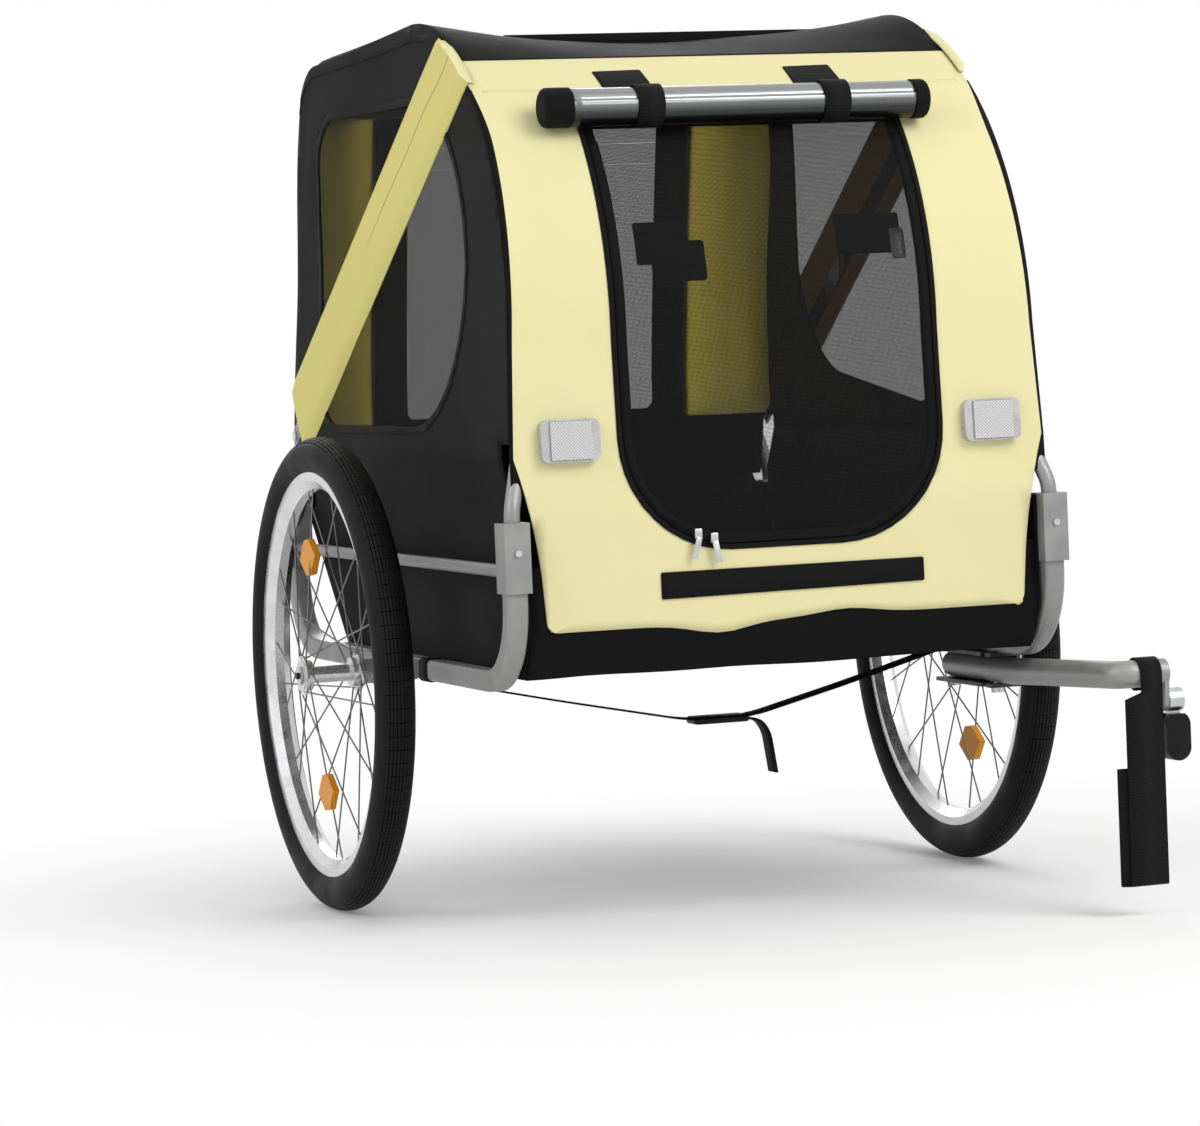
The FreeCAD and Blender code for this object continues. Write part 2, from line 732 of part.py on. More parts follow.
def strut_wrap():
    """The cloth tunnel round the left strut: wide where it is sewn on, narrow over the strut."""
    half = STRUT_THICKNESS / 2
    pocket_half = STRUT_WIDTH / 2 + SEAT_GAP
    wrap = strut_prism(-WRAP_START, WRAP_END, WRAP_WIDTH / 2, WRAP_CROWN / 2, half, half + WRAP_PROUD)
    wrap = wrap.common(across(cover_face(CLOTH + SEAT_GAP)))
    pocket_top = half + SEAT_GAP
    pocket_end = STRUT_END + SEAT_GAP
    wrap = wrap.cut(strut_prism(0, pocket_end, pocket_half, pocket_half, STRUT_THICKNESS, pocket_top))
    for point in strut_line():
        inner, outer = rivet_ends(point)
        wrap = wrap.cut(rod(inner, outer + X_AXIS * (RIVET_HEAD + SEAT_GAP), RIVET_HEAD_RADIUS + SEAT_GAP))
    return wrap


# The lower frame
def side_frame():
    """The left lower tube: front upright, rail and rear upright in one bent piece."""
    points = [
        V(RAIL_X, FRONT_POST_Y, UPRIGHT_TOP),
        V(RAIL_X, FRONT_POST_Y, RAIL_Z),
        V(RAIL_X, REAR_POST_Y, RAIL_Z),
        V(RAIL_X, REAR_POST_Y, UPRIGHT_TOP),
    ]
    path = rounded_path(points, [RAIL_BEND, RAIL_BEND])
    outer = swept(path, rounded_square(points[0], RAIL_SIZE, RAIL_CORNER))
    inner = swept(path, rounded_square(points[0], RAIL_SIZE - 2 * RAIL_WALL, RAIL_CORNER - RAIL_WALL))
    frame = outer.cut(inner)
    for end in (-1, 1):
        place = V(RAIL_X, end * BRACKET_BOLT_Y, RAIL_Z)
        frame = frame.cut(rod(place, place + X_AXIS * RAIL_SIZE, BOLT_RADIUS + PIN_GAP))
    return frame


def cross_tubes():
    half = X_AXIS * RAIL_INNER
    tubes = []
    for y in cross_tube_places():
        centre = V(0, y, CROSS_TUBE_Z)
        outer = rod(centre - half, centre + half, CROSS_TUBE_RADIUS)
        tubes.append(outer.cut(rod(centre - half, centre + half, CROSS_TUBE_RADIUS - RAIL_WALL)))
    return Part.makeCompound(tubes)


def corner_sleeve(y, outward):
    """A left sleeve: the frame's upright fits in from below and the bow's foot from above."""
    half_width = SLEEVE_WIDTH / 2
    half_depth = SLEEVE_DEPTH / 2
    socket = RAIL_SIZE / 2 + SLEEVE_FIT
    sleeve = box(RAIL_X - half_width, RAIL_X + half_width, y - half_depth, y + half_depth,
                 SLEEVE_BOTTOM, SLEEVE_TOP)
    lower = box(RAIL_X - socket, RAIL_X + socket, y - socket, y + socket, SLEEVE_BOTTOM, UPRIGHT_TOP)
    upper = rod(V(RAIL_X, y, UPRIGHT_TOP), V(RAIL_X, y, SLEEVE_TOP), BOW_RADIUS + SLEEVE_FIT)
    button = V(RAIL_X, y, BUTTON_Z)
    hole = rod(button, button + Y_AXIS * (outward * SLEEVE_DEPTH), BUTTON_RADIUS + PIN_GAP)
    return sleeve.cut(lower).cut(upper).cut(hole)


def snap_button(side, y, outward):
    """A button that stands through the bow and the sleeve, with a flange inside the bow."""
    seat = outward * (BOW_RADIUS - BOW_WALL) * BUTTON_SEAT_SHARE
    middle = V(side * RAIL_X, y + seat, BUTTON_Z)
    face = V(side * RAIL_X, y + outward * (SLEEVE_DEPTH / 2 + BUTTON_PROUD), BUTTON_Z)
    inside = middle - Y_AXIS * (outward * BUTTON_FLANGE_THICKNESS)
    return rod(middle, face, BUTTON_RADIUS).fuse(rod(inside, middle, BUTTON_FLANGE_RADIUS)).removeSplitter()


def upper_rails():
    rails = []
    for name, side in SIDES:
        front = V(side * RAIL_X, FRONT_POST_Y + SLEEVE_DEPTH / 2, UPPER_RAIL_Z)
        rear = V(side * RAIL_X, REAR_POST_Y - SLEEVE_DEPTH / 2, UPPER_RAIL_Z)
        rails.append(rod(front, rear, UPPER_RAIL_RADIUS).cut(rod(front, rear, UPPER_RAIL_RADIUS - RAIL_WALL)))
    return Part.makeCompound(rails)


# Bows and struts
def whole_bow(leg_points, leg_radii, y, outward):
    """A bow from one sleeve over the cabin to the other, given the points of its left leg."""
    right_leg = [V(-point.x, point.y, point.z) for point in reversed(leg_points)]
    radii = leg_radii + [BOW_CORNER, BOW_CORNER] + leg_radii[::-1]
    bow = tube(rounded_path(leg_points + right_leg, radii), BOW_RADIUS, BOW_WALL)
    for name, side in SIDES:
        button = V(side * RAIL_X, y, BUTTON_Z)
        bow = bow.cut(rod(button, button + Y_AXIS * (outward * SLEEVE_DEPTH), BUTTON_RADIUS + PIN_GAP))
        for hole in rivet_holes(RIVET_RADIUS + PIN_GAP):
            bow = bow.cut(on_side(hole, side))
    return bow


def front_bow():
    lean_y = FRONT_POST_Y + FRONT_BOW_LEAN_BACK
    brow_y = FRONT_BROW_Y + INSET_BOW
    rise = math.atan2(TOP_SEAM_Z - FRONT_BROW_Z, TOP_SEAM_Y - FRONT_BROW_Y)
    chord = math.hypot(TOP_SEAM_Z - FRONT_BROW_Z, TOP_SEAM_Y - FRONT_BROW_Y)
    half_turn = 2 * math.atan2(2 * FRONT_BULGE, chord)
    brow_radius = chord / 2 / math.sin(half_turn) - INSET_BOW
    brow_z = FRONT_BROW_Z + brow_radius * math.tan(half_turn)
    slope = math.tan(rise - half_turn)
    knee_z = brow_z + (RIDGE_KNEE_Y - brow_y) * slope
    leg = [
        V(RAIL_X, FRONT_POST_Y, BOW_FOOT_Z),
        V(RAIL_X, FRONT_POST_Y, SLEEVE_TOP + BOW_BEND_RISE),
        V(RAIL_X - BOW_LEAN_IN, lean_y, BOW_LEAN_Z),
        V(BOW_TOP_HALF_WIDTH, brow_y, FRONT_BROW_Z - BOW_KNEE / 2),
        V(BOW_TOP_HALF_WIDTH, brow_y, brow_z),
        V(BOW_TOP_HALF_WIDTH, RIDGE_KNEE_Y, knee_z),
        V(BOW_TOP_HALF_WIDTH, RIDGE_BAR_Y, RIDGE_BAR_Z),
    ]
    return whole_bow(leg, [BOW_KNEE, BOW_KNEE, BOW_KNEE, brow_radius, BOW_KNEE], FRONT_POST_Y, -1)


def rear_bow():
    leg = [
        V(RAIL_X, REAR_POST_Y, BOW_FOOT_Z),
        V(RAIL_X, REAR_POST_Y, SLEEVE_TOP + BOW_BEND_RISE),
        V(RAIL_X - BOW_LEAN_IN, REAR_POST_Y, BOW_LEAN_Z),
        V(BOW_TOP_HALF_WIDTH, REAR_WAIST_Y, BOW_WAIST_Z),
        V(BOW_TOP_HALF_WIDTH, REAR_SHOULDER_Y, REAR_SHOULDER_Z),
        V(BOW_TOP_HALF_WIDTH, REAR_BAR_Y, REAR_BAR_Z),
    ]
    return whole_bow(leg, [BOW_KNEE for point in leg[1:-1]], REAR_POST_Y, 1)


def diagonal_strut():
    width_half = STRUT_WIDTH / 2
    half = STRUT_THICKNESS / 2
    strut = strut_prism(STRUT_END, STRUT_END, width_half, width_half, half, half)
    for hole in rivet_holes(RIVET_RADIUS + PIN_GAP):
        strut = strut.cut(hole)
    return strut


def strut_rivets():
    rivets = []
    for name, side in SIDES:
        for point in strut_line():
            inner, outer = rivet_ends(point)
            head = rod(outer, outer + X_AXIS * RIVET_HEAD, RIVET_HEAD_RADIUS)
            rivets.append(on_side(rod(inner, outer, RIVET_RADIUS).fuse(head).removeSplitter(), side))
    return Part.makeCompound(rivets)


# Floor
def floor_tub():
    """The black cloth floor with its low front and rear walls."""
    front = COVER_FRONT_Y + CLOTH + SEAT_GAP
    rear = COVER_REAR_Y - CLOTH - SEAT_GAP
    lean_share = (TUB_REAR_LIP_Z - COVER_KNEE_Z) / (REAR_WAIST_OUT_Z - COVER_KNEE_Z)
    lean = (COVER_REAR_Y - REAR_WAIST_OUT_Y) * lean_share
    outer = [
        (front, TUB_LIP_Z),
        (front, TUB_FOLD_Z),
        (TUB_FRONT_FOOT_Y, TUB_BOTTOM),
        (TUB_REAR_FOOT_Y, TUB_BOTTOM),
        (rear, COVER_KNEE_Z),
        (rear - lean, TUB_REAR_LIP_Z),
    ]
    inner = [
        (rear - lean - CLOTH, TUB_REAR_LIP_Z),
        (rear - CLOTH, COVER_KNEE_Z),
        (TUB_REAR_FOOT_Y - CLOTH, TUB_BOTTOM + CLOTH),
        (TUB_FRONT_FOOT_Y + CLOTH, TUB_BOTTOM + CLOTH),
        (front + CLOTH, TUB_FOLD_Z),
        (front + CLOTH, TUB_LIP_Z),
    ]
    face = polygon_face([V(-TUB_HALF_WIDTH, y, z) for y, z in outer + inner])
    return face.extrude(V(2 * TUB_HALF_WIDTH, 0, 0))


def floor_board():
    top = BOARD_BOTTOM + BOARD_THICKNESS
    return box(-BOARD_HALF_WIDTH, BOARD_HALF_WIDTH, BOARD_FRONT_Y, BOARD_REAR_Y, BOARD_BOTTOM, top)


# Rain cover roll and reflectors on the front wall
def brow_centre():
    """The centre and radius of the round brow of the front wall."""
    low = V(0, FRONT_BROW_Y, FRONT_BROW_Z)
    high = V(0, TOP_SEAM_Y, TOP_SEAM_Z)
    brow = arc(low, front_bulge_point(), high).Curve
    return brow.Center, brow.Radius


def roll_axis():
    """The roll's centre, resting on the round brow at the roll's height."""
    centre, radius = brow_centre()
    reach = radius + ROLL_RADIUS + ROLL_STRAP_THICKNESS + 2 * SEAT_GAP
    return V(ROLL_CENTRE_X, centre.y - math.sqrt(reach ** 2 - (ROLL_Z - centre.z) ** 2), ROLL_Z)


def rain_cover_roll():
    axis = roll_axis()
    half = X_AXIS * (ROLL_HALF_LENGTH - ROLL_END_LENGTH)
    return rod(axis - half, axis + half, ROLL_RADIUS)


def roll_ends():
    axis = roll_axis()
    ends = []
    for name, side in SIDES:
        inner = axis + X_AXIS * (side * (ROLL_HALF_LENGTH - ROLL_END_LENGTH))
        outer = axis + X_AXIS * (side * ROLL_HALF_LENGTH)
        ends.append(rod(inner, outer, ROLL_RADIUS))
    return Part.makeCompound(ends)


def roll_straps():
    """Two hook-and-loop straps round the roll, each with a tab sewn on the wall above it."""
    axis = roll_axis()
    centre, radius = brow_centre()
    outward = V(0, axis.y - centre.y, axis.z - centre.z).normalize()
    straps = []
    for x in ROLL_STRAP_X:
        start = axis + X_AXIS * (x - ROLL_STRAP_WIDTH / 2)
        end = axis + X_AXIS * (x + ROLL_STRAP_WIDTH / 2)
        inner = ROLL_RADIUS + SEAT_GAP
        loop = rod(start, end, inner + ROLL_STRAP_THICKNESS)
        lower = radius + SEAT_GAP
        brow_start = V(start.x, centre.y, centre.z)
        brow_end = V(end.x, centre.y, centre.z)
        sheet = rod(brow_start, brow_end, lower + ROLL_STRAP_THICKNESS).cut(rod(brow_start, brow_end, lower))
        foot = start - outward * (ROLL_RADIUS + OVERRUN)
        reach = box(start.x, end.x, foot.y, foot.y + ROLL_TAB_LENGTH, foot.z, foot.z + ROLL_TAB_LENGTH)
        straps.append(loop.fuse(sheet.common(reach)).cut(rod(start, end, inner)).removeSplitter())
    return Part.makeCompound(straps)


def reflector_lean():
    """How far the front wall leans back at the reflectors, in degrees."""
    return math.degrees(math.atan2(FRONT_BROW_Y - COVER_FRONT_Y, FRONT_BROW_Z - COVER_KNEE_Z))


def on_front_wall(shape, side):
    """Moves a shape from the XZ plane, front to -Y, to the reflector's place on the front wall."""
    share = (REFLECTOR_Z - COVER_KNEE_Z) / (FRONT_BROW_Z - COVER_KNEE_Z)
    wall_y = COVER_FRONT_Y + (FRONT_BROW_Y - COVER_FRONT_Y) * share
    placed = shape.copy()
    placed.rotate(V(0, 0, 0), X_AXIS, -reflector_lean())
    placed.translate(V(side * REFLECTOR_X, wall_y - SEAT_GAP, REFLECTOR_Z))
    return placed


def rounded_block(width, height, depth, corner):
    """A block on the XZ plane, standing out to -Y, with round corners."""
    block = box(-width / 2, width / 2, -depth, 0, -height / 2, height / 2)
    return block.makeFillet(corner, edges_along(block, Y_AXIS))


def reflector_frames():
    frames = []
    for name, side in SIDES:
        frame = rounded_block(REFLECTOR_WIDTH, REFLECTOR_HEIGHT, REFLECTOR_DEPTH, REFLECTOR_CORNER)
        half = REFLECTOR_WIDTH / 2 - REFLECTOR_RIM
        tall = REFLECTOR_HEIGHT / 2 - RIM_WALL
        pocket = box(-half, half, -2 * REFLECTOR_DEPTH, -REFLECTOR_DEPTH / 2, -tall, tall)
        frames.append(on_front_wall(frame.cut(pocket), side))
    return Part.makeCompound(frames)


def reflector_lenses():
    lenses = []
    for name, side in SIDES:
        half = REFLECTOR_WIDTH / 2 - REFLECTOR_RIM - SEAT_GAP
        tall = REFLECTOR_HEIGHT / 2 - RIM_WALL - SEAT_GAP
        lens = box(-half, half, -REFLECTOR_DEPTH - LENS_PROUD, -REFLECTOR_DEPTH / 2, -tall, tall)
        lenses.append(on_front_wall(lens, side))
    return Part.makeCompound(lenses)


# Wheels, made round the X axis at the wheel's middle and then put in place
def at_wheel(shape, side):
    placed = shape.copy()
    placed.translate(V(side * WHEEL_X, 0, AXLE_Z))
    return placed


def tyre():
    half = BEAD_HALF_WIDTH
    section = Part.Face(Part.Wire([
        arc(V(-half, 0, BEAD_RADIUS), V(0, 0, WHEEL_RADIUS), V(half, 0, BEAD_RADIUS)),
        line(V(half, 0, BEAD_RADIUS), V(-half, 0, BEAD_RADIUS)),
    ]))
    return section.revolve(V(0, 0, 0), X_AXIS, 360)


def rim():
    edge = BEAD_RADIUS - SEAT_GAP
    half = RIM_WIDTH / 2
    base = RIM_BASE_WIDTH / 2
    inner_half = half - RIM_WALL
    inner_base = base - RIM_WALL / 2
    shoulder = edge - RIM_SHOULDER
    floor = RIM_BASE_RADIUS + RIM_WALL
    return ring([
        (-half, edge), (-half, shoulder), (-base, RIM_BASE_RADIUS), (base, RIM_BASE_RADIUS), (half, shoulder),
        (half, edge), (inner_half, edge), (inner_half, shoulder + RIM_WALL / 2), (inner_base, floor),
        (-inner_base, floor), (-inner_half, shoulder + RIM_WALL / 2), (-inner_half, edge),
    ])


def hub():
    end = HUB_LENGTH / 2
    flange_out = (HUB_FLANGE_SPAN + HUB_FLANGE_THICKNESS) / 2
    flange_in = (HUB_FLANGE_SPAN - HUB_FLANGE_THICKNESS) / 2
    cup = end - HUB_CUP_LENGTH
    seat = end - BEARING_WIDTH
    half = [
        (seat, HUB_BORE_RADIUS), (seat, BEARING_RADIUS + RUN_GAP), (end, BEARING_RADIUS + RUN_GAP),
        (end, HUB_CUP_RADIUS), (flange_out, HUB_CUP_RADIUS), (flange_out, HUB_FLANGE_RADIUS),
        (flange_in, HUB_FLANGE_RADIUS), (flange_in, HUB_CUP_RADIUS), (cup, HUB_CUP_RADIUS),
        (cup, HUB_BARREL_RADIUS),
    ]
    return ring(half + [(-x, radius) for x, radius in reversed(half)])


def bearings():
    rings = []
    for end in (-1, 1):
        start = V(end * (HUB_LENGTH / 2 - BEARING_WIDTH), 0, 0)
        stop = V(end * HUB_LENGTH / 2, 0, 0)
        rings.append(rod(start, stop, BEARING_RADIUS).cut(rod(start, stop, AXLE_RADIUS + RUN_GAP)))
    return Part.makeCompound(rings)


def spokes():
    """Crossed spokes: on each flange they lean by turns forward and back, one row outside the other."""
    pitch = 360 / SPOKES_PER_FLANGE
    reach = RIM_BASE_RADIUS + RIM_WALL / 2
    rods = []
    for flange in (-1, 1):
        for index in range(SPOKES_PER_FLANGE):
            lean = 1 if index % 2 else -1
            at_rim = math.radians(index * pitch + flange * pitch / 4)
            at_hub = at_rim + math.radians(lean * SPOKE_CROSS_ANGLE)
            hub_x = flange * (HUB_FLANGE_SPAN / 2 + lean * SPOKE_STAGGER / 2)
            rim_x = flange * (SPOKE_RIM_OFFSET + lean * SPOKE_RIM_STAGGER / 2)
            foot = V(hub_x, SPOKE_HOLE_RADIUS * math.cos(at_hub), SPOKE_HOLE_RADIUS * math.sin(at_hub))
            rods.append(rod(foot, V(rim_x, reach * math.cos(at_rim), reach * math.sin(at_rim)), SPOKE_RADIUS))
    return Part.makeCompound(rods)


def wheel_reflectors():
    """Two pointed reflectors clipped on the outer spokes, across from each other."""
    half = WHEEL_REFLECTOR_LENGTH / 2
    tall = WHEEL_REFLECTOR_HEIGHT / 2
    nose = half * WHEEL_REFLECTOR_NOSE_SHARE
    outline = [(-half, 0), (-nose, -tall), (nose, -tall), (half, 0), (nose, tall), (-nose, tall)]
    share = (RIM_BASE_RADIUS - WHEEL_REFLECTOR_RADIUS) / (RIM_BASE_RADIUS - SPOKE_HOLE_RADIUS)
    x = HUB_FLANGE_SPAN / 2 * share - WHEEL_REFLECTOR_THICKNESS / 2
    pieces = []
    for up in (-1, 1):
        face = polygon_face([V(x, y, up * WHEEL_REFLECTOR_RADIUS + z) for y, z in outline])
        piece = face.extrude(V(WHEEL_REFLECTOR_THICKNESS, 0, 0))
        piece.rotate(V(0, 0, 0), X_AXIS, -WHEEL_REFLECTOR_TILT)
        pieces.append(piece)
    return Part.makeCompound(pieces)


def axle():
    """The left axle: a pin from its bracket through the hub, with a head and a bore for its button."""
    start = V(RAIL_OUTER + AXLE_BOTTOM_GAP, 0, AXLE_Z)
    end = V(HUB_OUTER_END + SEAT_GAP, 0, AXLE_Z)
    face = end + X_AXIS * AXLE_HEAD_THICKNESS
    bottom = face + X_AXIS * (RELEASE_PROUD - RELEASE_LENGTH - RELEASE_TRAVEL - SEAT_GAP)
    pin = rod(start, end, AXLE_RADIUS).fuse(rod(end, face, AXLE_HEAD_RADIUS)).removeSplitter()
    return pin.cut(rod(bottom, face, RELEASE_RADIUS + RUN_GAP))


def release_button():
    face = HUB_OUTER_END + SEAT_GAP + AXLE_HEAD_THICKNESS + RELEASE_PROUD
    return rod(V(face - RELEASE_LENGTH, 0, AXLE_Z), V(face, 0, AXLE_Z), RELEASE_RADIUS)


def axle_bracket():
    outline = [
        (-BRACKET_HALF_LENGTH, BRACKET_TOP_Z), (BRACKET_HALF_LENGTH, BRACKET_TOP_Z),
        (BRACKET_HALF_LENGTH, BRACKET_END_Z), (BRACKET_LOBE_HALF, BRACKET_LOBE_Z),
        (-BRACKET_LOBE_HALF, BRACKET_LOBE_Z), (-BRACKET_HALF_LENGTH, BRACKET_END_Z),
    ]
    plate = polygon_face([V(RAIL_OUTER, y, z) for y, z in outline]).extrude(V(BRACKET_PLATE, 0, 0))
    centre = V(BRACKET_OUTER, 0, AXLE_Z)
    mouth = V(HUB_INNER_END - RECEIVER_END_GAP, 0, AXLE_Z)
    bracket = plate.fuse(rod(centre, mouth, RECEIVER_RADIUS)).removeSplitter()
    bracket = bracket.cut(rod(V(RAIL_OUTER + AXLE_BOTTOM_GAP, 0, AXLE_Z), mouth, AXLE_RADIUS + RUN_GAP))
    for end in (-1, 1):
        place = V(RAIL_OUTER, end * BRACKET_BOLT_Y, RAIL_Z)
        bracket = bracket.cut(rod(place, place + X_AXIS * BRACKET_PLATE, BOLT_RADIUS + PIN_GAP))
    return bracket


def hexagon(centre, radius, height, axis):
    """A six-sided bolt head on a face."""
    side = axis.cross(Y_AXIS) if abs(axis.y) < abs(axis.x) + abs(axis.z) else axis.cross(X_AXIS)
    other = axis.cross(side)
    points = []
    for index in range(HEXAGON_SIDES):
        angle = math.radians(index * 360 / HEXAGON_SIDES)
        points.append(centre + side * (radius * math.cos(angle)) + other * (radius * math.sin(angle)))
    return polygon_face(points).extrude(axis * height)


def bracket_bolts():
    bolts = []
    for name, side in SIDES:
        for end in (-1, 1):
            seat = V(BRACKET_OUTER, end * BRACKET_BOLT_Y, RAIL_Z)
            shank = rod(seat - X_AXIS * BOLT_GRIP, seat, BOLT_RADIUS)
            bolt = shank.fuse(hexagon(seat, BOLT_HEAD_RADIUS, BOLT_HEAD, X_AXIS)).removeSplitter()
            bolts.append(on_side(bolt, side))
    return Part.makeCompound(bolts)


# Drawbar with its bracket, pivot and lock pin
def drawbar_bracket():
    """A channel under the left rail, open to the inside, with open slots for the lock pin."""
    inner = DRAWBAR_X - DRAW_BRACKET_INNER
    web = DRAWBAR_X + DRAWBAR_RADIUS + 2 * SEAT_GAP
    rear = PIVOT_Y + PIVOT_MARGIN
    front = LOCK_PIN_Y - LOCK_PIN_MARGIN
    channel = box(inner, web + BRACKET_PLATE, front, rear, LOWER_PLATE_UNDERSIDE, RAIL_UNDERSIDE)
    channel = channel.cut(box(inner, web, front, rear, LOWER_PLATE_TOP, DRAW_PLATE_UNDERSIDE))
    pivot = V(DRAWBAR_X, PIVOT_Y, LOWER_PLATE_UNDERSIDE)
    channel = channel.cut(rod(pivot, V(pivot.x, pivot.y, RAIL_UNDERSIDE), BOLT_RADIUS + RUN_GAP))
    slot = box(inner, DRAWBAR_X + LOCK_SLOT_HALF, LOCK_PIN_Y - LOCK_SLOT_HALF, LOCK_PIN_Y + LOCK_SLOT_HALF,
               LOWER_PLATE_UNDERSIDE, RAIL_UNDERSIDE)
    return channel.cut(slot)


def drawbar_tube():
    pivot = V(DRAWBAR_X, PIVOT_Y, DRAWBAR_Z)
    bend = V(DRAWBAR_X, DRAWBAR_BEND_Y, DRAWBAR_Z)
    elbow = V(DRAWBAR_X, DRAWBAR_END_Y, DRAWBAR_END_Z)
    tip = V(DRAWBAR_END_X, DRAWBAR_END_Y, DRAWBAR_END_Z)
    radii = [DRAWBAR_EASE, DRAWBAR_ELBOW]
    outer_path = rounded_path([pivot, bend, elbow, tip], radii)
    inner_path = rounded_path([pivot - Y_AXIS * DRAWBAR_HOLLOW_START, bend, elbow, tip], radii)
    bar = swept(outer_path, round_profile(outer_path, DRAWBAR_RADIUS))
    bar = bar.cut(swept(inner_path, round_profile(inner_path, DRAWBAR_RADIUS - DRAWBAR_WALL)))
    bar = bar.fuse(Part.makeSphere(DRAWBAR_RADIUS, pivot).common(box(
        pivot.x - DRAWBAR_RADIUS, pivot.x + DRAWBAR_RADIUS, pivot.y, pivot.y + DRAWBAR_RADIUS,
        pivot.z - DRAWBAR_RADIUS, pivot.z + DRAWBAR_RADIUS)))
    plate = rod(tip, tip + X_AXIS * END_PLATE, DRAWBAR_RADIUS)
    low = V(tip.x, tip.y, COUPLING_Z)
    plate = plate.fuse(rod(low, low + X_AXIS * END_PLATE, END_PLATE_HALF))
    half = END_PLATE_HALF
    plate = plate.fuse(box(tip.x, tip.x + END_PLATE, tip.y - half, tip.y + half, low.z, tip.z))
    stud = rod(low + X_AXIS * END_PLATE, low + X_AXIS * (END_PLATE + STUD_LENGTH), STUD_RADIUS)
    bar = bar.fuse(plate).fuse(stud).removeSplitter()
    for y, radius in ((PIVOT_Y, BOLT_RADIUS + RUN_GAP), (LOCK_PIN_Y, LOCK_PIN_RADIUS + RUN_GAP)):
        middle = V(DRAWBAR_X, y, DRAWBAR_Z)
        reach = Z_AXIS * (DRAWBAR_RADIUS + OVERRUN)
        bar = bar.cut(rod(middle - reach, middle + reach, radius))
    return bar


def pivot_bolt():
    seat = V(DRAWBAR_X, PIVOT_Y, LOWER_PLATE_UNDERSIDE)
    top = V(DRAWBAR_X, PIVOT_Y, RAIL_UNDERSIDE - SEAT_GAP)
    head = hexagon(seat, BOLT_HEAD_RADIUS, BOLT_HEAD, -Z_AXIS)
    return rod(seat, top, BOLT_RADIUS).fuse(head).removeSplitter()


def lock_pin():
    seat = V(DRAWBAR_X, LOCK_PIN_Y, LOWER_PLATE_UNDERSIDE - SEAT_GAP)
    top = V(DRAWBAR_X, LOCK_PIN_Y, RAIL_UNDERSIDE - SEAT_GAP)
    head = rod(seat - Z_AXIS * LOCK_PIN_HEAD, seat, LOCK_PIN_HEAD_RADIUS)
    return rod(seat, top, LOCK_PIN_RADIUS).fuse(head).removeSplitter()


# Coupling
def coupling_eye():
    """A metal eye on the drawbar's stud, with a tongue for the coupling arm."""
    start = V(DRAWBAR_END_X + END_PLATE + SEAT_GAP, DRAWBAR_END_Y, COUPLING_Z)
    end = start + X_AXIS * EYE_LENGTH
    tongue = box(ARM_X - TONGUE_WIDTH / 2, ARM_X + TONGUE_WIDTH / 2, DRAWBAR_END_Y - TONGUE_THICKNESS / 2,
                 DRAWBAR_END_Y + TONGUE_THICKNESS / 2, COUPLING_Z - TONGUE_DROP, COUPLING_Z)
    eye = rod(start, end, EYE_RADIUS).fuse(tongue).removeSplitter()
    pin = V(ARM_X, DRAWBAR_END_Y, COUPLING_Z - ARM_PIN_DROP)
    eye = eye.cut(rod(start, end, STUD_RADIUS + RUN_GAP))
    return eye.cut(rod(pin - Y_AXIS * ARM_DEPTH, pin + Y_AXIS * ARM_DEPTH, ARM_PIN_RADIUS + RUN_GAP))


def coupling_arm():
    """The black coupling arm: a fork on the tongue above, a cross bore for the hitch pin below."""
    half = ARM_WIDTH / 2
    deep = ARM_DEPTH / 2
    top = COUPLING_Z - ARM_TOP_DROP
    bottom = COUPLING_Z - ARM_BOTTOM_DROP
    y = DRAWBAR_END_Y
    pin = V(ARM_X, y, COUPLING_Z - ARM_PIN_DROP)
    low = V(ARM_X, y - deep, bottom + half)
    arm = box(ARM_X - half, ARM_X + half, y - deep, y + deep, low.z, pin.z)
    arm = arm.fuse(rod(low, low + Y_AXIS * ARM_DEPTH, half))
    crown = box(ARM_X - half, ARM_X + half, y - deep, y + deep, pin.z, top)
    round_top = rod(pin - Y_AXIS * deep, pin + Y_AXIS * deep, half)
    arm = arm.fuse(crown.common(round_top)).removeSplitter()
    slot = TONGUE_THICKNESS / 2 + SEAT_GAP
    floor = COUPLING_Z - ARM_SLOT_BOTTOM_DROP
    arm = arm.cut(box(ARM_X - ARM_WIDTH, ARM_X + ARM_WIDTH, y - slot, y + slot, floor, COUPLING_Z))
    arm = arm.fuse(rod(pin - Y_AXIS * deep, pin + Y_AXIS * deep, ARM_PIN_RADIUS)).removeSplitter()
    bore = V(ARM_X, y, COUPLING_Z - HITCH_BORE_DROP)
    return arm.cut(rod(bore - X_AXIS * ARM_WIDTH, bore + X_AXIS * ARM_WIDTH, HITCH_BORE_RADIUS))


# Straps
def safety_strap():
    """Webbing looped round the drawbar's end, hanging down and folded up behind itself."""
    end = V(SAFETY_STRAP_END_X, DRAWBAR_END_Y, DRAWBAR_END_Z)
    start = end - X_AXIS * SAFETY_STRAP_WIDTH
    bend_end = V(DRAWBAR_X + DRAWBAR_ELBOW + SEAT_GAP, DRAWBAR_END_Y, DRAWBAR_END_Z)
    inner = DRAWBAR_RADIUS + SEAT_GAP
    front = DRAWBAR_END_Y - inner - WEBBING
    fall = box(start.x, end.x, front, front + WEBBING, SAFETY_STRAP_BOTTOM, DRAWBAR_END_Z)
    loop = rod(bend_end, end, inner + WEBBING).fuse(fall).cut(rod(bend_end, end, inner))
    back = front + 2 * WEBBING
    shift = SAFETY_STRAP_SHIFT
    left = start.x - shift
    right = end.x - shift
    low = SAFETY_STRAP_BOTTOM
    fold = box(left, right, front, back + WEBBING, low - WEBBING, low)
    rise = box(left, right, back, back + WEBBING, low, SAFETY_STRAP_TURN_UP)
    return loop.fuse(fold).fuse(rise).removeSplitter()


